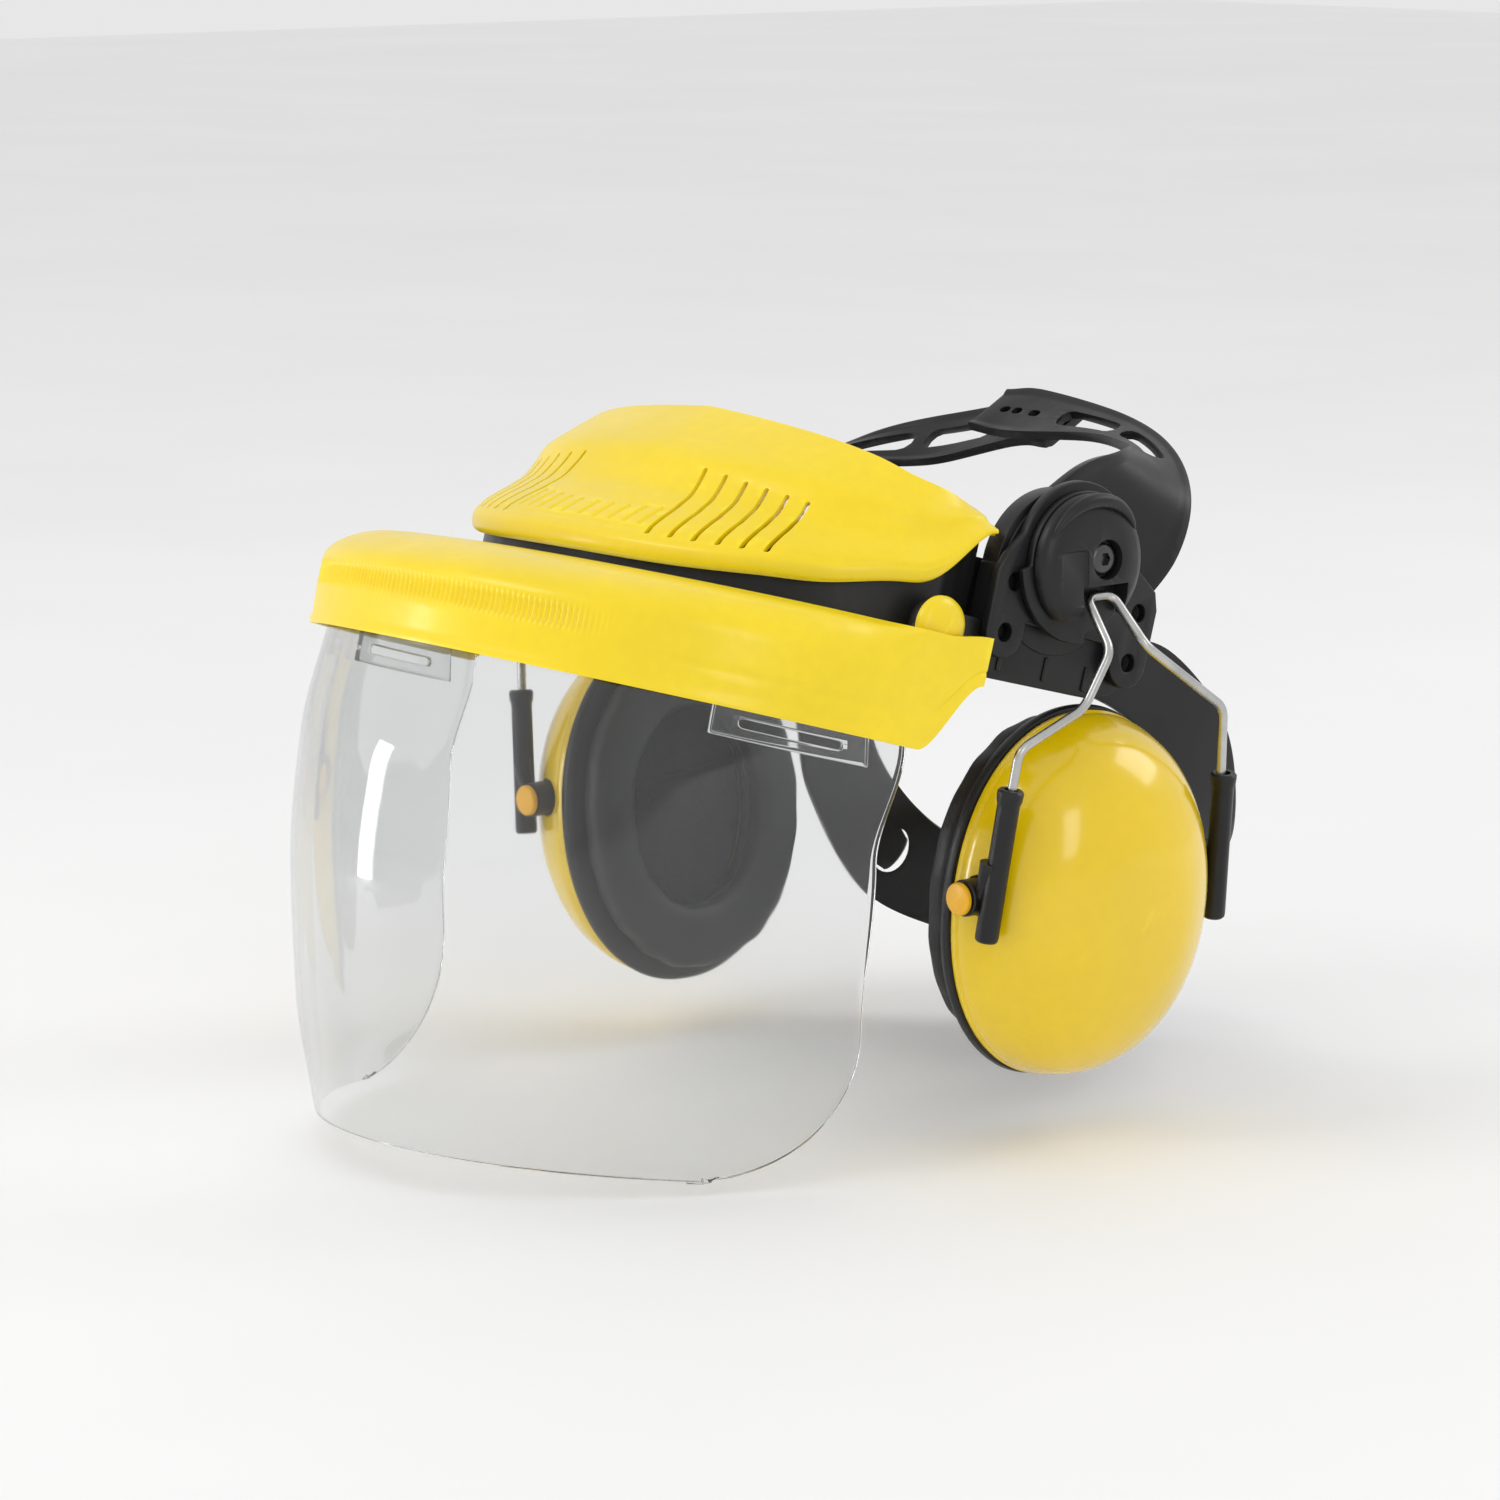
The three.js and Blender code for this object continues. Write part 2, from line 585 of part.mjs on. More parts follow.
function cushion() {
  return ovalRing(
    [[0.88, PLATE_BACK - GAP], [0.93, -20], [0.93, -25], [0.87, CUSHION_BACK + 1], [0.8, CUSHION_BACK]],
    [[0.6, PLATE_BACK + 1], [0.56, -20], [0.56, -25], [0.62, CUSHION_BACK - 1]],
    16,
  );
}

addPair(cups, 'cup_shell', cupShell(), CUP_YELLOW);
addPair(cups, 'back_plate', backPlate(), BLACK);
addPair(cups, 'ear_cushion', cushion(), SOFT_BLACK);
const foamRings = [-12, -4].map((x) => cupRing(0.7, x, 16));
addPair(cups, 'foam_insert', stack(foamRings), FOAM_GREY);
addPair(cups, 'button_front', pivotButton(-1), BUTTON_ORANGE);
addPair(cups, 'button_rear', pivotButton(1), BUTTON_ORANGE);

// Room kept for the side plate by the straps that pass behind it.
function sidePlateSpace() {
  const x0 = PLATE_INNER - GAP;
  const boss = disc(BOSS.radius + 0.6, x0, PLATE_OUTER + 4, 28, BOSS.y, BOSS.z);
  const lower = plate(roundedRectangle(-31, 30.6, -40.5, BOSS.z, 2), x0, PLATE_OUTER + 4);
  return [boss, lower].map((shape) => shape.rotateX(-radians(BROW_TILT)));
}

// ---------- crown strap ----------

// A smooth curve through hand-set points, from 0 to 1.
function spline(points) {
  const curve = new THREE.CatmullRomCurve3(points.map((point) => new THREE.Vector3(...point)));
  return (u) => curve.getPoint(clamp(u, 0, 1));
}

// Front and rear edges of each half, from behind the side plate to past the middle. Both are drawn
// on the left. The halves bend freely, and the right one hangs lower.
const CROWN_FRONT = spline([
  [84, -6, 16], [84, 10, 24], [80, 28, 26], [66, 44, 25], [40, 54, 25], [0, 58, 22], [-16, 57, 23.2],
]);
const CROWN_REAR = spline([
  [84, 28, -22], [88, 42, -6], [84, 52, 10], [67, 62, 22], [40, 69.5, 29], [0, 74, 33], [-16, 72.9, 32],
]);
const RIGHT_FRONT = spline([
  [84, -6, 12], [84, 10, 16], [80, 28, 12], [65, 47, 9], [40, 58, 12], [0, 58, 22], [-16, 57, 23.2],
]);
const RIGHT_REAR = spline([
  [84, 28, -22], [88, 42, -8], [84, 52, 5], [67, 63, 15], [40, 70, 25], [0, 74, 33], [-16, 72.9, 32],
]);
const CROWN_THICK = 2.6;
const CROWN_FACING = new THREE.Vector3(0, -0.56, 0.83);   // which way the strap faces at the crown

function crownStrap(layer, frontEdge, rearEdge) {
  const at = (u, v) => {
    const point = frontEdge(u).lerp(rearEdge(u), v);
    return point.addScaledVector(CROWN_FACING, layer * smooth(u, 0.48, 0.72));
  };
  const strap = wall({ at, columns: 17, rows: 3, thickness: -CROWN_THICK });
  const middle = (u) => at(u, 0.5);
  const window = stack([0.42, 0.5, 0.58, 0.66, 0.74].map((u) => {
    const centre = middle(u);
    const across = at(u, 0.75).sub(at(u, 0.25));
    const outward = CROWN_FACING.clone().multiplyScalar(8);
    return [[-0.5, -1], [0.5, -1], [0.5, 1], [-0.5, 1]].map(([a, b]) => centre.clone()
      .addScaledVector(across, a).addScaledVector(outward, b));
  }));
  return cut(strap, window, ...sidePlateSpace());
}

add(headset, 'crown_strap_left', crownStrap(0, CROWN_FRONT, CROWN_REAR), BLACK);
const lowerHalf = crownStrap(-CROWN_THICK - 2 * GAP, RIGHT_FRONT, RIGHT_REAR);
add(headset, 'crown_strap_right', mirrored(lowerHalf), BLACK);

// ---------- nape strap with its ratchet ----------

const NAPE_CENTRE = spline([
  [84.5, 12, -32], [84.5, 37, -42], [84.5, 57, -64], [81, 64, -94], [67, 73, -118], [46, 84, -128],
  [27, NAPE.y, NAPE.z],
]);
const NAPE_HALF = spline([
  [0, 6, 7], [0, 8, 9], [0, 11, 6], [-2, 13, 4], [-5, 8, 12], [-2, 1, 14], [0, 0, 13],
]);
const NAPE_THICK = 2.2;

function napeStrap() {
  const at = (u, v) => NAPE_CENTRE(u).addScaledVector(NAPE_HALF(u), 2 * v - 1);
  const strap = wall({ at, columns: 15, rows: 3, thickness: NAPE_THICK });
  const vent = new THREE.CylinderGeometry(6, 6, 30, 12).rotateX(Math.PI / 2);
  vent.rotateZ(-radians(50)).translate(67, 73, -116);
  return cut(strap, vent, ...sidePlateSpace());
}

addPair(headset, 'nape_strap', napeStrap(), BLACK);

const PITCH = (2 * Math.PI * PINION.pitchRadius) / PINION.teeth;
const RACK = { length: 40, inner: -16, y0: 82.9, y1: 84.4, root: 7.4, tip: 4.95, back: 11.6 };

// The upper rack, teeth down. The lower one is the same piece turned half round about Y.
function rack() {
  const shape = new THREE.Shape();
  const outerEnd = RACK.inner + RACK.length;
  shape.moveTo(RACK.inner, RACK.back);
  shape.lineTo(RACK.inner, RACK.root);
  for (let i = Math.ceil(RACK.inner / PITCH); (i + 1) * PITCH < outerEnd; i += 1) {
    const middle = (i + 0.5) * PITCH;
    shape.lineTo(middle - 1.02, RACK.root);
    shape.lineTo(middle - 0.34, RACK.tip);
    shape.lineTo(middle + 0.34, RACK.tip);
    shape.lineTo(middle + 1.02, RACK.root);
  }
  shape.lineTo(outerEnd, RACK.root);
  shape.lineTo(outerEnd, RACK.back);
  const geometry = new THREE.ExtrudeGeometry(shape, { depth: RACK.y1 - RACK.y0, bevelEnabled: false });
  return geometry.rotateX(Math.PI / 2).translate(0, RACK.y1, 0);
}

// An outline of count equal lobes, each given by [angle share, radius] pairs, along Y.
function lobed(count, lobe, y0, y1) {
  const shape = new THREE.Shape();
  for (let i = 0; i < count; i += 1) {
    for (const [share, radius] of lobe) {
      const angle = (2 * Math.PI * (i + share)) / count;
      const point = [radius * Math.cos(angle), radius * Math.sin(angle)];
      if (i === 0 && share === lobe[0][0]) {
        shape.moveTo(...point);
      } else {
        shape.lineTo(...point);
      }
    }
  }
  const geometry = new THREE.ExtrudeGeometry(shape, { depth: y1 - y0, bevelEnabled: false });
  return geometry.rotateX(Math.PI / 2).translate(0, y1, 0);
}

const HOUSING = { halfWidth: 30, y0: 80.6, y1: 96, halfHeight: 17 };
const RACK_SLOT = { y0: 82.5, y1: 88.6, halfHeight: 14 };

function alongY(radius, y0, y1, sides) {
  return new THREE.CylinderGeometry(radius, radius, y1 - y0, sides).translate(0, (y0 + y1) / 2, 0);
}

// A slab with rounded corners, standing across Y from y0 to y1.
function slab(halfWidth, halfHeight, y0, y1) {
  const outline = roundedRectangle(-halfWidth, halfWidth, -halfHeight, halfHeight, 8);
  const options = { depth: y1 - y0, bevelEnabled: false, curveSegments: 4 };
  const geometry = new THREE.ExtrudeGeometry(outline, options);
  return geometry.rotateX(Math.PI / 2).translate(0, y1, 0);
}

function napeHousing() {
  const body = slab(HOUSING.halfWidth, HOUSING.halfHeight, HOUSING.y0, HOUSING.y1);
  const slot = block(-40, 40, RACK_SLOT.y0, RACK_SLOT.y1, -RACK_SLOT.halfHeight, RACK_SLOT.halfHeight);
  return cut(body, slot, alongY(3.4, RACK_SLOT.y1 - 1, HOUSING.y1 + 1, 14));
}

function ratchetKnob() {
  const lobe = [[-0.3, 14], [0.3, 14], [0.42, 15.2], [0.58, 15.2]];
  const grip = lobed(12, lobe, HOUSING.y1 + GAP, HOUSING.y1 + 8);
  const neck = alongY(3, RACK_SLOT.y1 + 0.2, HOUSING.y1 + 2, 14);
  const spindle = alongY(1.8, 83.6, RACK_SLOT.y1 + 1, 10);
  return joined(grip, neck, spindle);
}

function pinion() {
  const tooth = [[-0.3, 4.7], [-0.205, 6], [-0.09, 6.9], [0.09, 6.9], [0.205, 6], [0.3, 4.7]];
  return cut(lobed(PINION.teeth, tooth, RACK.y0, RACK_SLOT.y1 - 0.4), alongY(2.15, 80, 90, 10));
}

const nape = new THREE.Group();
nape.position.z = NAPE.z;
headset.add(nape);
add(nape, 'nape_housing', napeHousing(), BLACK);
add(nape, 'ratchet_knob', ratchetKnob(), BLACK);
add(nape, 'ratchet_pinion', pinion(), STEEL);
add(nape, 'rack_left', rack(), BLACK);
add(nape, 'rack_right', rack().rotateY(Math.PI), BLACK);
add(nape, 'nape_pad', slab(27, 14.5, HOUSING.y0 - GAP - 6, HOUSING.y0 - GAP), SOFT_BLACK);

// ---------- visor ----------

const BRIM_THICK = 2.2;
const BRIM_LOW = -63.5;
const BRIM_HIGH = -31;
const BRIM_INSET = [[0, 0.8], [0.25, 0], [0.42, 0], [0.5, 2], [0.75, 20], [1, 44]];
const BRIM_LEVEL = [[0, BRIM_LOW], [0.25, -52], [0.42, -44.5], [0.5, -41], [0.75, -33.4], [1, BRIM_HIGH]];

function brimSurface(u, v) {
  const s = 2 * u - 1;
  const depth = keyed(BRIM_INSET, v);
  const [, edgeY] = horseshoe(s, BRIM);
  const fade = smooth(edgeY, -82, -62);           // the lip dies out before the hinge
  const [x, y] = horseshoe(s, inset(BRIM, depth, 0.19 * (1 - fade)));
  const z = keyed(BRIM_LEVEL, v);
  const sweep = smooth(edgeY, -54, -34);          // the lower edge sweeps up to the rear end
  const low = BRIM_LOW + 21 * sweep;
  const high = BRIM_HIGH + 2 * sweep;
  const share = (z - BRIM_LOW) / (BRIM_HIGH - BRIM_LOW);
  return new THREE.Vector3(x, y, lerp(z, lerp(low, high, share), smooth(edgeY, -75, -50)));
}

add(brow, 'visor_frame', wall({ at: brimSurface, columns: 27, rows: 6, thickness: BRIM_THICK }), YELLOW);

const SCREEN_HALF = [[-166, 90.5], [-152, 94], [-125, 97], [-87, 98], [-50, 98], [0, 97.2], [12, 97]];
const SCREEN_DEPTH = [
  [-166, 111], [-152, 113], [-125, 117], [-87, 118], [-50, 113], [-17, 99.5], [0, 94.5], [12, 91.5],
];
const SCREEN_CENTRE = -69;
const SCREEN_CORNER = 42;
const SCREEN_CLIMB = 0.11;        // rise of the lower edge per unit of Y

// A point on the screen at a turn angle (0 in front) and height, set in by a depth.
function onScreen(turn, z, depth) {
  const side = (keyed(SCREEN_HALF, z) - depth) * Math.sin(turn);
  return new THREE.Vector3(side, SCREEN_CENTRE - (keyed(SCREEN_DEPTH, z) - depth) * Math.cos(turn), z);
}

// Height of a level plane of the tilted brow group at a given Y.
const browLevel = (level, y) => (level - y * Math.sin(radians(BROW_TILT))) / Math.cos(radians(BROW_TILT));

function screenSurface(u, v) {
  const down = 1 - (1 - v) ** 1.6;
  const spread = 2 * u - 1;
  const levelAt = (turn) => {
    const floor = SCREEN_BOTTOM + SCREEN_CLIMB * (SCREEN_CENTRE - onScreen(turn, SCREEN_BOTTOM, 0).y);
    return lerp(browLevel(-50, onScreen(turn, -10, 0).y), floor, down);
  };
  const level = levelAt(radians(90) * spread);
  const corner = clamp((level - SCREEN_BOTTOM) / SCREEN_CORNER, 0, 1);
  const cutBack = 5 * smooth(-level, 45, 80) + 2 * smooth(-level, 80, 125);
  const rearEdge = 90 - cutBack - 26 * (1 - Math.sqrt(1 - (1 - corner) ** 2));
  const turn = radians(rearEdge) * spread;
  return onScreen(turn, levelAt(turn), 0);
}

function clipSurface(u, v) {
  const turn = radians(lerp(58, 84, u));
  return onScreen(turn, browLevel(lerp(-54, -71, v), onScreen(turn, -30, 0).y), 2);
}

function hingeKnob() {
  return turned([
    [88.2, 0], [88.2, 3], [94.9, 3], [94.9, 8.3], [96.4, 8.5], [98.2, 7.4], [99.3, 5], [99.7, 0],
  ], 18, HINGE.y, HINGE.z);
}

function hingeBracket() {
  const arm = roundedRectangle(HINGE.y - 4, -30.4, HINGE.z - 4, HINGE.z + 5, 3);
  return cut(
    joined(disc(7.6, 91.4, 94.5, 16, HINGE.y, HINGE.z), plate(arm, 91.4, 93, 3)),
    disc(3.4, 90, 96, 12, HINGE.y, HINGE.z),
  );
}

addPair(brow, 'hinge_bracket', hingeBracket(), BLACK);
addPair(brow, 'hinge_knob', hingeKnob(), YELLOW);
add(headset, 'visor_screen', wall({ at: screenSurface, columns: 23, rows: 8, thickness: -1.4 }), CLEAR);
addPair(headset, 'visor_clip', wall({ at: clipSurface, columns: 6, rows: 3, thickness: -1.4 }), CLEAR);

export default headset;
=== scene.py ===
"""Looks of the browguard headset: smooth shells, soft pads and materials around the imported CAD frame.

Shapes are drawn in millimetres in the row frame: +Z up, the visor towards -Y, the wearer's left at +X.
The brow parts are drawn level and then tilted by BROW_TILT, as on the real headset.
"""
import math

import bmesh
import bpy
import numpy as np
from mathutils import Matrix, Vector
from mathutils.geometry import delaunay_2d_cdt


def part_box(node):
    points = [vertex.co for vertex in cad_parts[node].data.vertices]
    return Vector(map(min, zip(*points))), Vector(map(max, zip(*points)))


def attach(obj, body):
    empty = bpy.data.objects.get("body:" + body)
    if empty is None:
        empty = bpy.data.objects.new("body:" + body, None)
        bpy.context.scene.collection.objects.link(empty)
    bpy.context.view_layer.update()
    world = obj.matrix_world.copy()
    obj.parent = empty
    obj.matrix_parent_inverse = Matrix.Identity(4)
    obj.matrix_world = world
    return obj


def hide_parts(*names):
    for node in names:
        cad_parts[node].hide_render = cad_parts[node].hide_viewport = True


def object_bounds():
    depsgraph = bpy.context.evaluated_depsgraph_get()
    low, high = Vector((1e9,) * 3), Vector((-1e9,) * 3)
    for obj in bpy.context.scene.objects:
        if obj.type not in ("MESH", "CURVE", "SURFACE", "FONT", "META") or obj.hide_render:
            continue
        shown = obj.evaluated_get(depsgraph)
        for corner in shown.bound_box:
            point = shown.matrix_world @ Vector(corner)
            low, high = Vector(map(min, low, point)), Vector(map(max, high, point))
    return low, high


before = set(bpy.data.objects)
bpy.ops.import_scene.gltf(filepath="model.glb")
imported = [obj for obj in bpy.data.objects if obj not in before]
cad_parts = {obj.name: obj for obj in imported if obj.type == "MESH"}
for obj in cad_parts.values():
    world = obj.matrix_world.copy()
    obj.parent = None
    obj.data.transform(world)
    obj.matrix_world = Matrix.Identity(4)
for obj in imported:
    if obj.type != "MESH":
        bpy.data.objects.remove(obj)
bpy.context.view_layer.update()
scene = bpy.context.scene

MM = 0.001
BROW_TILT = math.radians(16)
SIDES = {"left": 1, "right": -1}

# ---------- camera ----------

AZIMUTH = math.radians(50)
ELEVATION = math.radians(10)
CAMERA_DISTANCE = 1600
CAMERA_SHIFT = (-32.5, -67.0)      # sideways and up in the picture plane
LENS = 130.9


def make_camera():
    right = Vector((math.cos(AZIMUTH), math.sin(AZIMUTH), 0))
    back = Vector((
        math.sin(AZIMUTH) * math.cos(ELEVATION),
        -math.cos(AZIMUTH) * math.cos(ELEVATION),
        math.sin(ELEVATION),
    ))
    up = back.cross(right)
    data = bpy.data.cameras.new("camera")
    data.lens = LENS
    data.sensor_width = 36
    data.clip_start = 0.1
    data.clip_end = 50
    camera = bpy.data.objects.new("camera", data)
    place = back * CAMERA_DISTANCE + right * CAMERA_SHIFT[0] + up * CAMERA_SHIFT[1]
    turn = Matrix((right, up, back)).transposed()
    camera.matrix_world = Matrix.Translation(place * MM) @ turn.to_4x4()
    scene.collection.objects.link(camera)
    scene.camera = camera


make_camera()

# ---------- small maths ----------


def smooth(x, a, b):
    t = min(max((x - a) / (b - a), 0.0), 1.0)
    return t * t * (3 - 2 * t)


def lerp(a, b, t):
    return a + (b - a) * t


def eased(keys, x):
    """Value at x on a smooth curve through (x, value) keys that never overshoots them."""
    xs = [key[0] for key in keys]
    ys = [key[1] for key in keys]
    if x <= xs[0]:
        return ys[0]
    if x >= xs[-1]:
        return ys[-1]
    slopes = [(ys[k + 1] - ys[k]) / (xs[k + 1] - xs[k]) for k in range(len(xs) - 1)]

    def tangent(k):
        if k in (0, len(xs) - 1):
            return slopes[min(k, len(slopes) - 1)]
        before, after = slopes[k - 1], slopes[k]
        if before * after <= 0:
            return 0.0
        return 2 * before * after / (before + after)

    k = next(i for i in range(len(xs) - 1) if x <= xs[i + 1])
    width = xs[k + 1] - xs[k]
    t = (x - xs[k]) / width
    start, end = tangent(k) * width, tangent(k + 1) * width
    return (
        (2 * t**3 - 3 * t**2 + 1) * ys[k]
        + (t**3 - 2 * t**2 + t) * start
        + (3 * t**2 - 2 * t**3) * ys[k + 1]
        + (t**3 - t**2) * end
    )


def spline(points):
    """A smooth curve through given points, from 0 to 1."""
    rows = [np.array(p, float) for p in points]
    rows = [2 * rows[0] - rows[1], *rows, 2 * rows[-1] - rows[-2]]
    count = len(points) - 1

    def at(u):
        place = min(max(u, 0.0), 1.0) * count
        k = min(int(place), count - 1)
        t = place - k
        a, b, c, d = rows[k : k + 4]
        return 0.5 * (
            2 * b + (c - a) * t + (2 * a - 5 * b + 4 * c - d) * t**2 + (3 * b - a - 3 * c + d) * t**3
        )

    return at


def horseshoe(s, plan):
    """A U-shaped plan curve open to the rear. s runs from -1, the right end, to 1, the left end."""
    half, front, centre, end, power = plan
    straight = abs(end - centre)
    bend = centre - front
    split = (bend + half) / (bend + half + straight)
    turn = min(abs(s) / split, 1) * math.pi / 2
    x = math.copysign(half * math.sin(turn) ** (2 / power), s)
    past = max(abs(s) / split - 1, 0) * split / max(1 - split, 1e-9)
    return x, centre - bend * max(math.cos(turn), 0) ** (2 / power) + straight * past


def inset(plan, depth, side_share, power=None):
    half, front, centre, end, old = plan
    return (half - depth * side_share, front + depth, centre, end, power or old)


# ---------- mesh helpers ----------

def make_object(name, points, faces, tilt=False, flip=False):
    """A mesh object from points in millimetres. tilt turns it with the brow, flip mirrors it in X."""
    places = np.array(points, float).reshape(-1, 3) * MM
    if tilt:
        cos, sin = math.cos(BROW_TILT), math.sin(BROW_TILT)
        y = places[:, 1] * cos + places[:, 2] * sin
        z = -places[:, 1] * sin + places[:, 2] * cos
        places[:, 1], places[:, 2] = y, z
    if flip:
        places[:, 0] *= -1
        faces = [tuple(reversed(face)) for face in faces]
    mesh = bpy.data.meshes.new(name)
    mesh.from_pydata(places.tolist(), [], [tuple(face) for face in faces])
    mesh.validate()
    mesh.update()
    obj = bpy.data.objects.new(name, mesh)
    scene.collection.objects.link(obj)
    return obj


def fix_normals(obj):
    edit = bmesh.new()
    edit.from_mesh(obj.data)
    bmesh.ops.remove_doubles(edit, verts=edit.verts, dist=1e-6)
    bmesh.ops.recalc_face_normals(edit, faces=edit.faces)
    edit.to_mesh(obj.data)
    edit.free()


def bake_modifiers(obj):
    graph = bpy.context.evaluated_depsgraph_get()
    mesh = bpy.data.meshes.new_from_object(obj.evaluated_get(graph))
    obj.modifiers.clear()
    obj.data = mesh


def round_edges(obj, width, segments=3, angle=40):
    bevel = obj.modifiers.new("edge", "BEVEL")
    bevel.width = width * MM
    bevel.segments = segments
    bevel.limit_method = "ANGLE"
    bevel.angle_limit = math.radians(angle)
    bevel.harden_normals = False
    bake_modifiers(obj)


def shade(obj, angle=35):
    edit = bmesh.new()
    edit.from_mesh(obj.data)
    limit = math.radians(angle)
    for edge in edit.edges:
        edge.smooth = not (len(edge.link_faces) == 2 and edge.calc_face_angle(0) > limit)
    for face in edit.faces:
        face.smooth = True
    edit.to_mesh(obj.data)
    edit.free()


def finish_piece(obj, body, look, angle=35):
    """Gives a piece its look and its body. It replaces the CAD node that its name starts with."""
    obj.data.materials.clear()
    obj.data.materials.append(look)
    shade(obj, angle)
    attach(obj, body)
    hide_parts(obj.name.rsplit("_", 1)[0])


def subtract(obj, *cutters):
    for cutter in cutters:
        fix_normals(cutter)
        cut = obj.modifiers.new("cut", "BOOLEAN")
        cut.operation = "DIFFERENCE"
        cut.solver = "EXACT"
        cut.object = cutter
    bpy.context.view_layer.update()
    bake_modifiers(obj)
    for cutter in cutters:
        bpy.data.objects.remove(cutter)


def join(name, objects):
    """One object from several, as loose shells side by side."""
    points, faces = [], []
    for obj in objects:
        start = len(points)
        points += [tuple(obj.matrix_world @ v.co) for v in obj.data.vertices]
        faces += [tuple(start + i for i in face.vertices) for face in obj.data.polygons]
        bpy.data.objects.remove(obj)
    return make_object(name, np.array(points) / MM, faces)


def stadium(start, end, half_width, steps=5, side_steps=12):
    """Outline of a slot with round ends, between two points of a plane."""
    start, end = np.array(start, float), np.array(end, float)
    along = (end - start) / np.linalg.norm(end - start)
    across = np.array([-along[1], along[0]])
    outline = []
    for centre, other, way in ((end, start, 1), (start, end, -1)):
        for k in range(steps + 1):
            angle = math.pi * (k / steps - 0.5)
            outline.append(
                centre + way * half_width * (math.cos(angle) * along + math.sin(angle) * across)
            )
        corner = outline[-1]
        outline += [corner + (other - centre) * k / side_steps for k in range(1, side_steps)]
    return outline


def inside(point, outline):
    x, y = point
    odd = False
    for (x0, y0), (x1, y1) in zip(outline, [*outline[1:], outline[0]]):
        if (y0 > y) != (y1 > y) and x < (x1 - x0) * (y - y0) / (y1 - y0) + x0:
            odd = not odd
    return odd


def normal_at(at, u, v):
    step = 1e-3
    along = at(min(u + step, 1), v) - at(max(u - step, 0), v)
    across = at(u, min(v + step, 1)) - at(u, max(v - step, 0))
    normal = np.cross(along, across)
    return normal / max(np.linalg.norm(normal), 1e-12)


def slots_on(at, pairs, half_width):
    """Slot outlines in u and v for pairs of end points, kept even in width on the curved surface."""
    outlines = []
    for start, end in pairs:
        u, v = (start[0] + end[0]) / 2, (start[1] + end[1]) / 2
        wide = np.linalg.norm(at(u + 0.005, v) - at(u - 0.005, v)) * 100
        tall = np.linalg.norm(at(u, v + 0.005) - at(u, v - 0.005)) * 100
        flat = stadium(
            (start[0] * wide, start[1] * tall), (end[0] * wide, end[1] * tall), half_width
        )
        outlines.append([(p[0] / wide, p[1] / tall) for p in flat])
    return outlines


def shell(name, at, columns, rows, thickness, holes=(), grooves=(), groove_depth=0.9, **place):
    """A curved wall on the surface at(u, v), with holes through it and blind grooves in its face.

    The wall grows against the surface's normal, or along it where the thickness is negative.
    """
    if not holes and not grooves:
        points = [at(i / (columns - 1), j / (rows - 1)) for i in range(columns) for j in range(rows)]
        faces = [
            (i * rows + j, (i + 1) * rows + j, (i + 1) * rows + j + 1, i * rows + j + 1)
            for i in range(columns - 1)
            for j in range(rows - 1)
        ]
    else:
        points, faces = cut_sheet(at, columns, rows, holes, grooves, groove_depth)
    obj = make_object(name, points, faces, **place)
    wall = obj.modifiers.new("wall", "SOLIDIFY")
    wall.thickness = abs(thickness) * MM
    wall.offset = -1 if thickness > 0 else 1
    wall.use_even_offset = False
    bake_modifiers(obj)
    return obj


def cut_sheet(at, columns, rows, holes, grooves, groove_depth):
    floors = []
    for outline in grooves:
        middle = np.mean(outline, axis=0)
        floors.append([tuple(middle + 0.55 * (np.array(p) - middle)) for p in outline])
    rims = [*holes, *grooves]
    spots = []
    for i in range(columns):
        for j in range(rows):
            spot = (i / (columns - 1), j / (rows - 1))
            near = any(
                min(abs(spot[0] - p[0]) for p in rim) < 0.02 and inside(spot, rim) for rim in rims
            )
            if not near:
                spots.append(spot)
    depth = [0.0] * len(spots)
    edges = []
    for outline, sunk in [(rim, 0.0) for rim in rims] + [(floor, groove_depth) for floor in floors]:
        start = len(spots)
        spots += [tuple(p) for p in outline]
        depth += [sunk] * len(outline)
        count = len(outline)
        edges += [(start + k, start + (k + 1) % count) for k in range(count)]
    places, _, triangles, source, _, _ = delaunay_2d_cdt(
        [Vector(spot) for spot in spots], edges, [], 0, 1e-7
    )
    points = []
    for place, origin in zip(places, source):
        u, v = place
        sunk = max((depth[k] for k in origin), default=0.0)
        point = at(u, v)
        if sunk:
            point = point - sunk * normal_at(at, u, v)
        points.append(point)
    kept = []
    for triangle in triangles:
        centre = sum((Vector(places[k]) for k in triangle), Vector((0, 0))) / len(triangle)
        if not any(inside(centre, hole) for hole in holes):
            kept.append(triangle)
    return points, kept


def pad(name, at, columns, rows, thickness, **place):
    """A closed soft slab on the surface at(u, v): its thickness(u, v) fades to nothing at its edges."""
    spots = [(i / (columns - 1), j / (rows - 1)) for i in range(columns) for j in range(rows)]
    outer = [at(u, v) for u, v in spots]
    inner = [point - normal_at(at, u, v) * thickness(u, v) for point, (u, v) in zip(outer, spots)]
    count = len(spots)
    faces = []
    for i in range(columns - 1):
        for j in range(rows - 1):
            a, b = i * rows + j, (i + 1) * rows + j
            faces.append((a, b, b + 1, a + 1))
            faces.append((a + count, a + 1 + count, b + 1 + count, b + count))
    for i in range(columns - 1):
        a, b = i * rows, (i + 1) * rows
        faces.append((b, a, a + count, b + count))
        a, b = a + rows - 1, b + rows - 1
        faces.append((a, b, b + count, a + count))
    for j in range(rows - 1):
        faces.append((j, j + 1, j + 1 + count, j + count))
        a = (columns - 1) * rows + j
        faces.append((a + 1, a, a + count, a + 1 + count))
    obj = make_object(name, [*outer, *inner], faces, **place)
    fix_normals(obj)
    return obj


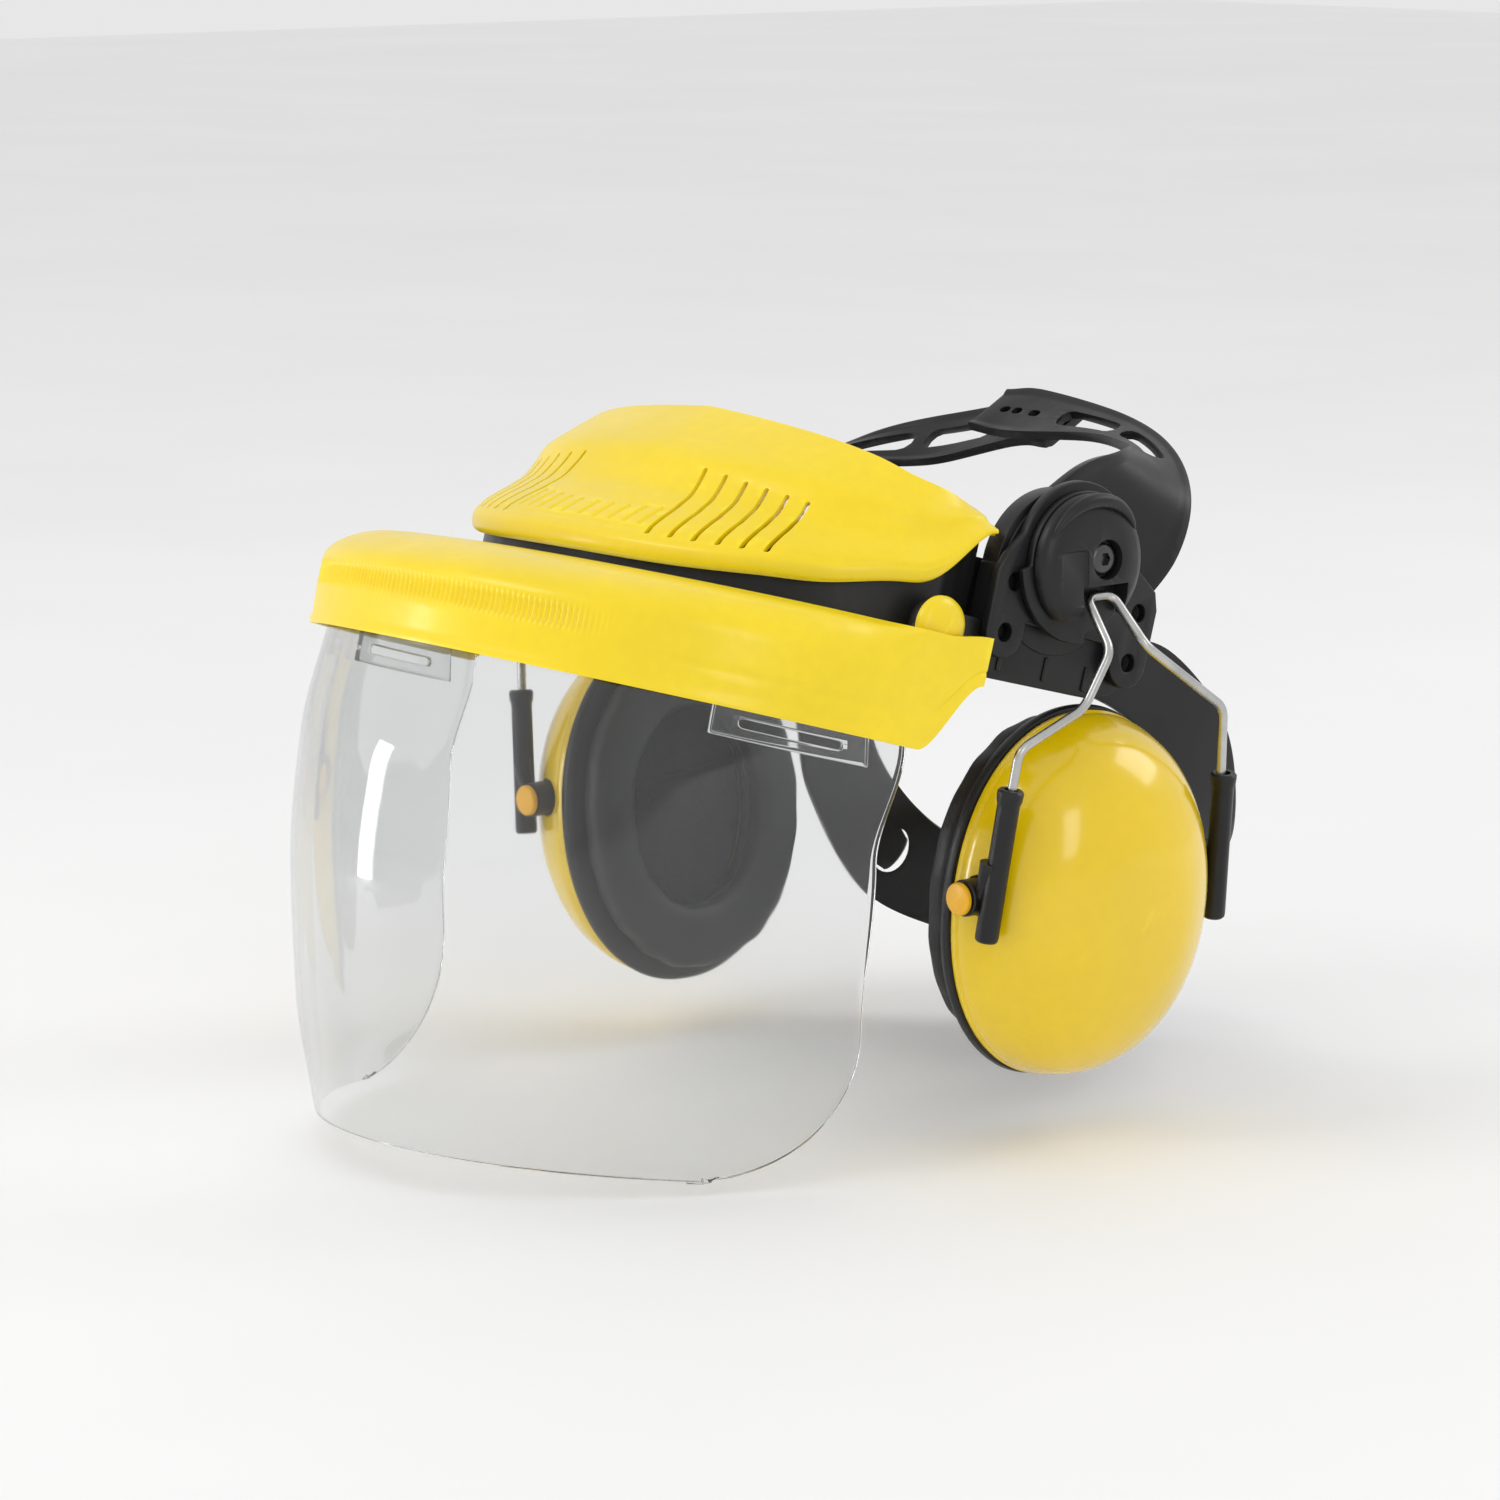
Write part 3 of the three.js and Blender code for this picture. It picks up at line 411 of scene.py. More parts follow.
def ring_faces(rings, steps, closed=False):
    """Faces between neighbouring rings of points, and from the last ring to the first where closed."""
    faces = []
    for j in range(rings if closed else rings - 1):
        m = (j + 1) % rings
        for k in range(steps):
            n = (k + 1) % steps
            faces.append((j * steps + k, j * steps + n, m * steps + n, m * steps + k))
    return faces


def turned(name, profile, steps=64, y=0.0, z=0.0, axis="x", **place):
    """A turned piece about a line along X (or Y), from (distance along it, radius) pairs."""
    points = []
    for far, radius in profile:
        for k in range(steps):
            angle = 2 * math.pi * k / steps
            a, b = radius * math.cos(angle), radius * math.sin(angle)
            points.append((far, y + a, z + b) if axis == "x" else (y + a, far, z + b))
    obj = make_object(name, points, ring_faces(len(profile), steps), **place)
    fix_normals(obj)
    return obj


def extruded(name, outline, x0, x1, holes=(), bevel=0.5, **place):
    """A flat plate across X with holes, from an outline in Y and Z."""
    loops = [list(outline), *holes]
    spots, edges = [], []
    for loop in loops:
        start = len(spots)
        spots += [Vector(p) for p in loop]
        edges += [(start + k, start + (k + 1) % len(loop)) for k in range(len(loop))]
    places, _, triangles, _, _, _ = delaunay_2d_cdt(spots, edges, [], 0, 1e-7)
    kept = []
    for triangle in triangles:
        centre = sum((Vector(places[k]) for k in triangle), Vector((0, 0))) / 3
        if inside(centre, outline) and not any(inside(centre, hole) for hole in holes):
            kept.append(triangle)
    points = [(x0, p[0], p[1]) for p in places]
    obj = make_object(name, points, kept, **place)
    edit = bmesh.new()
    edit.from_mesh(obj.data)
    made = bmesh.ops.extrude_face_region(edit, geom=edit.faces[:])
    shift = Vector(((x1 - x0) * MM * (-1 if place.get("flip") else 1), 0, 0))
    bmesh.ops.translate(
        edit, vec=shift, verts=[g for g in made["geom"] if isinstance(g, bmesh.types.BMVert)]
    )
    bmesh.ops.recalc_face_normals(edit, faces=edit.faces)
    bmesh.ops.dissolve_limit(edit, angle_limit=0.01, verts=edit.verts, edges=edit.edges)
    edit.to_mesh(obj.data)
    edit.free()
    if bevel:
        round_edges(obj, bevel)
    return obj


def circle(y, z, radius, steps=32, start=0.0, end=360.0):
    closed = end - start >= 360
    count = steps if closed else steps + 1
    return [
        (
            y + radius * math.cos(math.radians(start + (end - start) * k / steps)),
            z + radius * math.sin(math.radians(start + (end - start) * k / steps)),
        )
        for k in range(count)
    ]


def rounded_box(y0, y1, z0, z1, radius, steps=8):
    corners = ((y1, z1, 0, -1, -1), (y0, z1, 90, 1, -1), (y0, z0, 180, 1, 1), (y1, z0, 270, -1, 1))
    outline = []
    for y, z, start, way_y, way_z in corners:
        outline += circle(y + way_y * radius, z + way_z * radius, radius, steps, start, start + 90)
    return outline


def swept(name, path, radius, sides=16, **place):
    """A round bar along a path, with closed ends. radius may be a number or a function of 0 to 1."""
    rows = [np.array(p, float) for p in path]
    points = []
    normal = np.array([0.3, 1.0, 0.2])
    for k, row in enumerate(rows):
        along = rows[min(k + 1, len(rows) - 1)] - rows[max(k - 1, 0)]
        along /= np.linalg.norm(along)
        normal = normal - along * (normal @ along)
        normal /= np.linalg.norm(normal)
        side = np.cross(along, normal)
        size = radius(k / (len(rows) - 1)) if callable(radius) else radius
        for n in range(sides):
            angle = 2 * math.pi * n / sides
            points.append(row + size * (math.cos(angle) * normal + math.sin(angle) * side))
    faces = ring_faces(len(rows), sides)
    faces.append(tuple(reversed(range(sides))))
    faces.append(tuple((len(rows) - 1) * sides + n for n in range(sides)))
    return make_object(name, points, faces, **place)


def bent_path(corners, reach, steps=10):
    """A polyline with its inner corners rounded."""
    rows = [np.array(c, float) for c in corners]
    path = [rows[0]]
    for before, corner, after in zip(rows, rows[1:], rows[2:]):
        enter = corner + (before - corner) / np.linalg.norm(before - corner) * reach
        leave = corner + (after - corner) / np.linalg.norm(after - corner) * reach
        for k in range(steps + 1):
            t = k / steps
            path.append((1 - t) ** 2 * enter + 2 * t * (1 - t) * corner + t**2 * leave)
    path.append(rows[-1])
    return path


def box_cutter(x0, x1, y0, y1, z0, z1, **place):
    points = [(x, y, z) for x in (x0, x1) for y in (y0, y1) for z in (z0, z1)]
    faces = [(0, 1, 3, 2), (4, 6, 7, 5), (0, 4, 5, 1), (2, 3, 7, 6), (0, 2, 6, 4), (1, 5, 7, 3)]
    return make_object("cutter", points, faces, **place)


# ---------- materials ----------

class Look:
    """A material with small helpers to wire its nodes."""

    def __init__(self, name):
        self.material = bpy.data.materials.new(name)
        self.material.use_nodes = True
        self.tree = self.material.node_tree
        self.shader = self.tree.nodes["Principled BSDF"]
        self.place = self.add("ShaderNodeTexCoord").outputs["Object"]

    def add(self, kind, **values):
        node = self.tree.nodes.new(kind)
        for key, value in values.items():
            setattr(node, key, value)
        return node

    def link(self, source, target):
        self.tree.links.new(source, target)

    def noise(self, scale, detail=3.0, roughness=0.55, stretch=(1, 1, 1)):
        mapping = self.add("ShaderNodeMapping")
        mapping.inputs["Scale"].default_value = stretch
        self.link(self.place, mapping.inputs["Vector"])
        node = self.add("ShaderNodeTexNoise")
        node.inputs["Scale"].default_value = scale
        node.inputs["Detail"].default_value = detail
        node.inputs["Roughness"].default_value = roughness
        self.link(mapping.outputs["Vector"], node.inputs["Vector"])
        return node.outputs["Fac"]

    def cells(self, scale):
        node = self.add("ShaderNodeTexVoronoi", feature="F1")
        node.inputs["Scale"].default_value = scale
        self.link(self.place, node.inputs["Vector"])
        return node.outputs["Distance"]

    def spread(self, source, low, high, start=0.3, end=0.7):
        node = self.add("ShaderNodeMapRange")
        node.inputs["From Min"].default_value = start
        node.inputs["From Max"].default_value = end
        node.inputs["To Min"].default_value = low
        node.inputs["To Max"].default_value = high
        self.link(source, node.inputs["Value"])
        return node.outputs["Result"]

    def mix(self, share, first, second):
        node = self.add("ShaderNodeMix", data_type="RGBA")
        self.link(share, node.inputs["Factor"])
        for value, socket in ((first, node.inputs[6]), (second, node.inputs[7])):
            if isinstance(value, tuple):
                socket.default_value = (*value, 1)
            else:
                self.link(value, socket)
        return node.outputs[2]

    def edges(self):
        """High along outside edges of a shape: the mask for a painted highlight along edges."""
        return self.spread(self.add("ShaderNodeNewGeometry").outputs["Pointiness"], 0, 1, 0.53, 0.62)

    def bump(self, heights):
        """Adds bumps from (height socket, strength, distance in millimetres) rows."""
        normal = None
        for height, strength, distance in heights:
            node = self.add("ShaderNodeBump")
            node.inputs["Strength"].default_value = strength
            node.inputs["Distance"].default_value = distance * MM
            self.link(height, node.inputs["Height"])
            if normal is not None:
                self.link(normal, node.inputs["Normal"])
            normal = node.outputs["Normal"]
        self.link(normal, self.shader.inputs["Normal"])

    def put(self, socket, value):
        if isinstance(value, (int, float)):
            self.shader.inputs[socket].default_value = value
        elif isinstance(value, tuple):
            self.shader.inputs[socket].default_value = (*value, 1)
        else:
            self.link(value, self.shader.inputs[socket])


def shaded(colour, factor):
    return tuple(min(channel * factor, 1.0) for channel in colour)


def moulded(name, colour, rough, coat, grain=0.25):
    """Moulded plastic: a faint flow mottle, scuffs in the gloss, a painted highlight along outside edges
    and a fine grain.
    """
    look = Look(name)
    flow = look.mix(look.spread(look.noise(22, 4), 0, 1), shaded(colour, 0.93), shaded(colour, 1.04))
    specks = look.mix(look.spread(look.noise(260, 2), 0, 0.35), flow, shaded(colour, 0.9))
    # painted highlight: outside edges tinted 1.25 times brighter, as if light caught them
    painted_edge_highlight = look.mix(look.spread(look.edges(), 0, 0.35, 0, 1), specks, shaded(colour, 1.25))
    look.put("Base Color", painted_edge_highlight)
    scuffs = look.noise(70, 5, 0.7, (1, 1, 2.5))
    look.put("Roughness", look.spread(scuffs, rough - 0.05, rough + 0.07))
    look.put("Coat Weight", coat)
    look.put("Coat Roughness", 0.12)
    look.put("IOR", 1.5)
    look.bump([(look.noise(1500, 2), grain, 0.04), (look.noise(35, 2), 0.12, 0.25)])
    return look.material


def textured_black(name):
    """Black polypropylene with a spark-eroded texture."""
    look = Look(name)
    base = (0.0075, 0.0075, 0.0085)
    cloud = look.mix(look.spread(look.noise(30, 4), 0, 1), base, shaded(base, 1.5))
    # painted highlight: outside edges tinted lighter grey, as if light caught them
    painted_edge_highlight = look.mix(look.spread(look.edges(), 0, 0.5, 0, 1), cloud, (0.03, 0.03, 0.032))
    look.put("Base Color", painted_edge_highlight)
    look.put("Roughness", look.spread(look.noise(90, 5, 0.7), 0.3, 0.44))
    look.put("Specular IOR Level", 0.35)
    look.bump([(look.cells(1300), 0.3, 0.05), (look.noise(420, 3), 0.2, 0.05)])
    return look.material


def vinyl(name):
    """Soft black vinyl skin with leather-like pebbles and creases."""
    look = Look(name)
    base = (0.006, 0.006, 0.007)
    look.put("Base Color", look.mix(look.spread(look.noise(45, 4), 0, 1), base, shaded(base, 1.9)))
    look.put("Roughness", look.spread(look.noise(120, 4), 0.4, 0.58))
    look.put("Specular IOR Level", 0.4)
    look.bump([
        (look.cells(900), 0.35, 0.08),
        (look.noise(70, 5, 0.65, (1, 1, 0.5)), 0.4, 0.5),
    ])
    return look.material


def open_foam(name):
    """Open-cell foam: dark pores over a charcoal body."""
    look = Look(name)
    pores = look.spread(look.cells(700), 0, 1, 0.1, 0.55)
    look.put("Base Color", look.mix(pores, (0.004, 0.004, 0.005), (0.022, 0.022, 0.023)))
    look.put("Roughness", look.spread(look.noise(200), 0.85, 1.0))
    look.put("Specular IOR Level", 0.2)
    look.bump([(look.cells(700), 0.9, 0.4), (look.noise(90, 4), 0.4, 0.6)])
    return look.material


def fleece(name):
    """Terry face of the sweatband: short loops in rows."""
    look = Look(name)
    loops = look.spread(look.cells(1100), 0, 1, 0.05, 0.5)
    look.put("Base Color", look.mix(loops, (0.01, 0.01, 0.011), (0.035, 0.035, 0.038)))
    look.put("Roughness", look.spread(look.noise(300), 0.8, 1.0))
    look.put("Sheen Weight", 0.15)
    look.bump([(look.cells(1100), 0.8, 0.3), (look.noise(60, 4), 0.3, 0.5)])
    return look.material


def drawn_steel(name, tone):
    """Drawn steel: fine lines and a slightly uneven shine."""
    look = Look(name)
    cloud = look.noise(80, 4)
    look.put("Base Color", look.mix(look.spread(cloud, 0, 1), shaded(tone, 0.85), shaded(tone, 1.15)))
    look.put("Metallic", 1.0)
    look.put("Roughness", look.spread(look.noise(400, 4, 0.7, (1, 1, 0.1)), 0.22, 0.38))
    look.bump([(look.noise(900, 3, 0.6, (1, 1, 0.08)), 0.25, 0.04)])
    return look.material


def polycarbonate(name):
    """Clear sheet with a faint drawn ripple and a slight haze."""
    look = Look(name)
    haze = look.noise(14, 3)
    look.put("Base Color", look.mix(look.spread(haze, 0, 1), (0.84, 0.85, 0.85), (0.87, 0.875, 0.875)))
    look.put("Roughness", look.spread(look.noise(60, 4), 0.015, 0.04))
    look.put("Transmission Weight", 1.0)
    look.put("IOR", 1.5)
    look.bump([(look.noise(9, 2, 0.5, (1, 1, 0.25)), 0.08, 0.6)])
    return look.material


COVER_YELLOW = moulded("cover_yellow", (0.93, 0.69, 0.004), 0.34, 0.15)
CUP_YELLOW = moulded("cup_yellow", (0.87, 0.6, 0.002), 0.18, 0.5, grain=0.08)
ORANGE = moulded("button_orange", (0.86, 0.44, 0.004), 0.4, 0.1, grain=0.1)
BLACK = textured_black("black_plastic")
VINYL = vinyl("black_vinyl")
FOAM = open_foam("open_foam")
FLEECE = fleece("fleece")
STEEL = drawn_steel("drawn_steel", (0.5, 0.5, 0.49))
DARK_STEEL = drawn_steel("blackened_steel", (0.09, 0.09, 0.092))
CLEAR = polycarbonate("clear_polycarbonate")

# ---------- forehead cover ----------

COVER = (92, -111, -31, -31, 2.1)
COVER_INSET = [
    (0, 0.6), (0.07, 0), (0.17, 1), (0.28, 7), (0.44, 18.6), (0.55, 22.5), (0.68, 26), (0.85, 36), (1, 46),
]
COVER_TOP = [(0, 21), (0.33, 17.5), (0.53, 14.5), (0.7, 11), (0.85, 9), (1, 6)]
COVER_LOW = -28.5


def cover_rise(y):
    return 3.5 * smooth(y, -111, -80) + 6 * smooth(y, -85, -55) + 19 * smooth(y, -62, -31) ** 2


def cover_at(u, v):
    s = 2 * u - 1
    front = 1 - smooth(abs(s), 0.5, 0.8)
    bead = smooth(v, 0.0, 0.02) * (1 - smooth(v, 0.11, 0.15)) * (1 - smooth(abs(s), 0.86, 0.97))
    band = smooth(v, 0.15, 0.18) * (1 - smooth(v, 0.33, 0.4)) * front
    depth = eased(COVER_INSET, v) - 0.9 * bead + 1.1 * band
    plan = inset(COVER, depth, 0.24, lerp(COVER[4], 2.4, v))
    x, y = horseshoe(s, plan)
    _, edge = horseshoe(s, COVER)
    return np.array([x, y, lerp(COVER_LOW + cover_rise(edge), eased(COVER_TOP, abs(s)), v)])


def forehead_cover():
    long_slots, short_slots = [], []
    for side in (-1, 1):
        for i in range(6):
            low, high = side * (0.211 + 0.0544 * i), side * (0.172 + 0.06 * i)
            long_slots.append((((low + 1) / 2, 0.17), ((high + 1) / 2, 0.62 - 0.014 * i)))
        for i in range(5):
            s = side * (0.02 + 0.038 * i)
            short_slots.append((((s + 1) / 2, 0.18), ((s * 0.97 + 1) / 2, 0.34 + 0.01 * i)))
    cover = shell(
        "forehead_cover_fine", cover_at, 241, 61, 2.2, tilt=True,
        holes=slots_on(cover_at, long_slots, 0.75),
        grooves=slots_on(cover_at, short_slots, 0.85),
    )
    round_edges(cover, 0.35, 2, 60)
    finish_piece(cover, "root", COVER_YELLOW)


forehead_cover()

# ---------- front frame and sweatband ----------

FRAME_RIM = (88.4, -107.6, -31, -31, 2.1)
FRAME_BAND = (80.5, -95, -28, -31, 2.1)
SWEAT_FACE = (80.1, -94.6, -28, -31, 2.1)


def frame_at(u, v):
    s = 2 * u - 1
    rim_x, rim_y = horseshoe(s, FRAME_RIM)
    band_x, band_y = horseshoe(s, FRAME_BAND)
    share = eased([(0, 0), (0.3, 0.03), (0.7, 0.97), (1, 1)], v)
    y = lerp(rim_y, band_y, share)
    tuck = math.copysign(3.3 * smooth(rim_y, -46, -34) * (1 - share), s)
    floor = -44 + 10 * smooth(rim_y, -95, -55)
    top = COVER_LOW + 4 + cover_rise(rim_y) - 7 * smooth(rim_y, -54, -36)
    z = eased([(0, top), (0.3, floor), (0.7, floor), (1, -15 + 8 * smooth(y, -92, -60))], v)
    return np.array([lerp(rim_x, band_x, share) - tuck, y, z])


def sweat_at(u, v):
    x, y = horseshoe(1.8 * u - 0.9, SWEAT_FACE)
    back = smooth(y, -92, -60)
    return np.array([x, y, lerp(-40 + 8 * back, -14 + 8 * back, v)])


def sweat_depth(u, v):
    crown = (1 - abs(2 * v - 1) ** 5) ** 0.5 * (1 - abs(2 * u - 1) ** 40) ** 0.5
    stitch = 1.3 * math.exp(-(((abs(2 * v - 1) - 0.72) / 0.05) ** 2))
    return 0.3 + 5.2 * crown - stitch * crown


frame_piece = shell("front_frame_fine", frame_at, 121, 41, -2.2, tilt=True)
round_edges(frame_piece, 0.5, 2, 60)
finish_piece(frame_piece, "root", BLACK)
sweatband = pad("sweatband_soft", sweat_at, 141, 33, sweat_depth, tilt=True)
finish_piece(sweatband, "root", FLEECE, angle=60)

# ---------- side plates, accessory plates and hubs ----------

BOSS = (-5, -7, 24.5)
CAP = (-3.5, -1, 20)
PLATE_X = (86, 93)
ACCESSORY_X = (93.35, 96.35)
HUB_BASE_X = 96.7
HUB_CAP_X = 99.25
LUG_Y = 24.6
LUG_HOLES = (-11.8, -26.2)


def side_plate(side, flip):
    y, z, radius = BOSS
    left = [(-30, -36.5), (-29, -38.6), (-26, -39.5), (16, -38.5), (24, -36), (30, -30), (30, -8)]
    start = math.degrees(math.asin((-8 - z) / radius))
    outline = [(-30, -8), *left, *circle(y, z, radius, 48, start, 180 - start)]
    hole = circle(0, 0, 2.6)
    body = extruded("plate", outline, PLATE_X[0], PLATE_X[1] - 0.6, [hole], 0.9, tilt=True, flip=flip)
    face = extruded(
        "face", circle(y, z, radius - 2, 64), PLATE_X[1] - 1.2, PLATE_X[1], [hole], 0.4,
        tilt=True, flip=flip,
    )
    ribs = [
        extruded(
            "rib", rounded_box(y0, y0 + 1.6, -37, -30, 0.7), PLATE_X[1] - 1, PLATE_X[1], (), 0.3,
            tilt=True, flip=flip,
        )
        for y0 in (-22, -4, 12)
    ]
    plate = join(f"side_plate_{side}_fine", [body, face, *ribs])
    finish_piece(plate, "root", BLACK)


def accessory_outline():
    y, z, radius = CAP
    outline = circle(y, z, radius + 1.5, 48, 8, 172)
    for side in (-1, 1):
        ring = [(side * (LUG_Y + 7), LUG_HOLES[0] + 2), *[
            (side * (LUG_Y + 7 * math.cos(a)), LUG_HOLES[1] - 7.3 + 7 - 7 * math.sin(a))
            for a in [math.radians(10 * k) for k in range(19)]
        ], (side * (LUG_Y - 7), -22.5)]
        ring.insert(0, (side * (LUG_Y + 5), LUG_HOLES[0] + 7))
        outline += ring if side < 0 else list(reversed(ring))
    return outline


def accessory_plate(side, flip):
    holes = [circle(way * LUG_Y, z, 2.6) for way in (-1, 1) for z in LUG_HOLES]
    plate = extruded(
        f"accessory_plate_{side}_fine", accessory_outline(), *ACCESSORY_X, holes, 0.6,
        tilt=True, flip=flip,
    )
    finish_piece(plate, "root", BLACK)


def hub_base(side, flip):
    y, z, radius = CAP
    outline = [*circle(y, z, radius, 48, -88, 178), *circle(y, z, radius + 3, 20, 180, 270)]
    base = extruded(
        f"hub_base_{side}_fine", outline, HUB_BASE_X, HUB_BASE_X + 2.2, [circle(0, 0, 2.7)], 0.5,
        flip=flip,
    )
    finish_piece(base, f"hub_{side}", BLACK)


def hub_cap(side, flip):
    y, z, radius = CAP
    x = HUB_CAP_X
    dome = turned("dome", [
        (x, 0.01), (x, radius - 1.2), (x + 0.3, radius - 0.5), (x + 2.2, radius - 0.8),
        (x + 3.4, radius - 1.8), (x + 4.6, radius - 4.2), (x + 5.3, 12), (x + 5.6, 6), (x + 5.65, 0.01),
    ], 96, y, z, flip=flip)
    cutters = [
        box_cutter(x - 1, x + 9, -30, 30, -30, -16.2, flip=flip),
        box_cutter(x - 1, x + 9, -8.4, 8.4, -21, -7.2, flip=flip),
        turned(
            "seat", [(x + 1.9, 0.01), (x + 1.9, 5.4), (x + 5.2, 5.6), (x + 9, 6.6), (x + 9, 0.01)],
            48, flip=flip,
        ),
        turned("hole", [(x - 1, 0.01), (x - 1, 2.7), (x + 3, 2.7), (x + 3, 0.01)], 32, flip=flip),
    ]
    subtract(dome, *cutters)
    round_edges(dome, 0.3, 2, 40)
    dimple = box_cutter(x + 4.75, x + 12, -17.5, -7.2, -13, 3.5, flip=flip)
    round_edges(dimple, 1.2, 3)
    subtract(dome, dimple)
    crescent = swept("crescent", [
        (
            x + 3.4 + 1.4 * math.sin(math.pi * k / 40),
            y + (radius - 2.2) * math.cos(math.radians(28 + 124 * k / 40)),
            z + (radius - 2.2) * math.sin(math.radians(28 + 124 * k / 40)),
        )
        for k in range(41)
    ], lambda t: 0.25 + 1.9 * math.sin(math.pi * t) ** 0.6, 16, flip=flip)
    cap = join(f"hub_cap_{side}_fine", [dome, crescent])
    finish_piece(cap, f"hub_{side}", BLACK)


def hub_screw(side, flip):
    x = HUB_CAP_X
    head = turned("head", [
        (88, 0.01), (88, 2.1), (x + 2.4, 2.2), (x + 2.4, 4.3), (x + 2.7, 4.6), (x + 3.6, 4.5),
        (x + 4.2, 3.9), (x + 4.4, 3), (x + 4.4, 0.01),
    ], 48, flip=flip)
    socket = turned("socket", [(x + 3, 0.01), (x + 3, 2), (x + 6, 2), (x + 6, 0.01)], 6, flip=flip)
    subtract(head, socket)
    head.name = f"hub_screw_{side}_fine"
    finish_piece(head, "root", DARK_STEEL)


# ---------- wire arms, sleeves ----------

AXLE = (HUB_CAP_X + 2.1, -10.5)
LEG_SPLAY = math.radians(4)
LEG_LEAN = math.radians(8.5)
SLEEVE_TOP = np.array([110.6, -41.4, -59.5])
SLEEVE_LENGTH = 44
PIVOT_Z = -91.2
FRONT_KNEES = [(113.8, -7.2, -24), (114, -17.4, -39), (112.3, -40, -48.5)]
REAR_KNEES = [(113.8, 6.5, -24), (112.3, 38.7, -45)]
WIRE_RADIUS = 1.35
SLEEVE_Y = -SLEEVE_TOP[1] + math.tan(LEG_SPLAY) * (SLEEVE_TOP[2] - PIVOT_Z)
SLEEVE_X = SLEEVE_TOP[0] - math.tan(LEG_LEAN) * (SLEEVE_TOP[2] - PIVOT_Z)
PIVOT_X = SLEEVE_X - 8
LUG_RADIUS = 5.2
LUG_HALF = 4.1


def leg_direction(way):
    row = np.array([-math.tan(LEG_LEAN), way * math.tan(LEG_SPLAY), -1.0])
    return row / np.linalg.norm(row)


def sleeve_top(way):
    top = SLEEVE_TOP.copy()
    top[1] *= -way
    return top + leg_direction(way) * 5 if way > 0 else top


def wire_fork(side, flip):
    legs = []
    for way, knees in ((-1, FRONT_KNEES), (1, REAR_KNEES)):
        end = sleeve_top(way) + leg_direction(way) * SLEEVE_LENGTH / 2
        legs.append([(AXLE[0], way * 4.8, AXLE[1]), *knees, end])
    path = bent_path([*reversed(legs[0]), *legs[1]], 3.4, 10)
    wire = swept(f"wire_fork_{side}_fine", path, WIRE_RADIUS, 20, flip=flip)
    finish_piece(wire, f"arm_{side}", STEEL, angle=60)


def sleeve(side, flip, where, way):
    top, out = sleeve_top(way), leg_direction(way)
    stops = [0, 0.6, 1.6, 3.2, 4.2, 5, 22, SLEEVE_LENGTH - 1.4, SLEEVE_LENGTH - 0.5, SLEEVE_LENGTH]
    sizes = [3.2, 3.75, 3.75, 3.6, 3.25, 3.2, 3.2, 3.35, 3.2, 2.7]
    tube = swept("tube", [top + out * far for far in stops], 1, 24)
    for n, vertex in enumerate(tube.data.vertices):
        centre = Vector((top + out * stops[n // 24]) * MM)
        vertex.co = centre + (vertex.co - centre) * sizes[n // 24]
    bore = swept("bore", [top - out * 3, top + out * 18], 2.0, 20)
    subtract(tube, bore)
    eye_y = way * SLEEVE_Y
    eye = turned("eye", [
        (eye_y - LUG_HALF, 2.3), (eye_y - LUG_HALF, 4.9), (eye_y - LUG_HALF + 0.4, LUG_RADIUS),
        (eye_y + LUG_HALF - 0.6, LUG_RADIUS), (eye_y + LUG_HALF, 4.6), (eye_y + LUG_HALF, 2.3),
        (eye_y - LUG_HALF, 2.3),
    ], 48, PIVOT_X, PIVOT_Z, axis="y")
    arm_path = [
        (lerp(PIVOT_X, SLEEVE_X, t), eye_y + way * 1.3, PIVOT_Z + 11 * t**3)
        for t in np.linspace(0.1, 1, 12)
    ]
    arm = swept("arm", arm_path, lambda t: 2.7 - 0.6 * math.sin(math.pi * t), 20)
    pieces = [tube, eye, arm]
    piece = join(f"sleeve_{where}_{side}_fine", pieces)
    if flip:
        mirror(piece)
    finish_piece(piece, f"slider_{side}", BLACK)


def mirror(obj):
    for vertex in obj.data.vertices:
        vertex.co.x *= -1
    obj.data.flip_normals()


# ---------- ear cups ----------

CUP = {"x": 101, "z": -98, "height": 106, "width": 86, "lean": math.radians(5)}
SHELL_BACK = -13
PLATE_BACK = -17.5
CUSHION_BACK = -28
DOME = [
    (0, (1.0, SHELL_BACK)), (0.1, (1.0, -9)), (0.25, (0.955, -1)), (0.42, (0.84, 8)), (0.62, (0.63, 16)),
    (0.85, (0.32, 21)), (1, (0.0, 22)),
]


def cup_point(angle, scale, x):
    def squarish(share):
        return math.copysign(abs(share) ** 0.95, share)

    y = CUP["width"] / 2 * scale * squarish(math.cos(angle))
    z = CUP["height"] / 2 * scale * squarish(math.sin(angle))
    lean = CUP["lean"]
    return np.array([
        CUP["x"] + x * math.cos(lean) + z * math.sin(lean),
        y,
        CUP["z"] - x * math.sin(lean) + z * math.cos(lean),
    ])


def ring_stack(name, profile, steps=96, closed=False, flip=False):
    """Rings of the cup's oval, one for each (scale, x) pair, joined into a skin."""
    points = [cup_point(2 * math.pi * k / steps, scale, x) for scale, x in profile for k in range(steps)]
    obj = make_object(name, points, ring_faces(len(profile), steps, closed), flip=flip)
    fix_normals(obj)
    return obj


def along_y(name, start, end, radius, steps=40):
    profile = [(start, 0.01), (start, radius), (end, radius), (end, 0.01)]
    return turned(name, profile, steps, PIVOT_X, PIVOT_Z, axis="y")


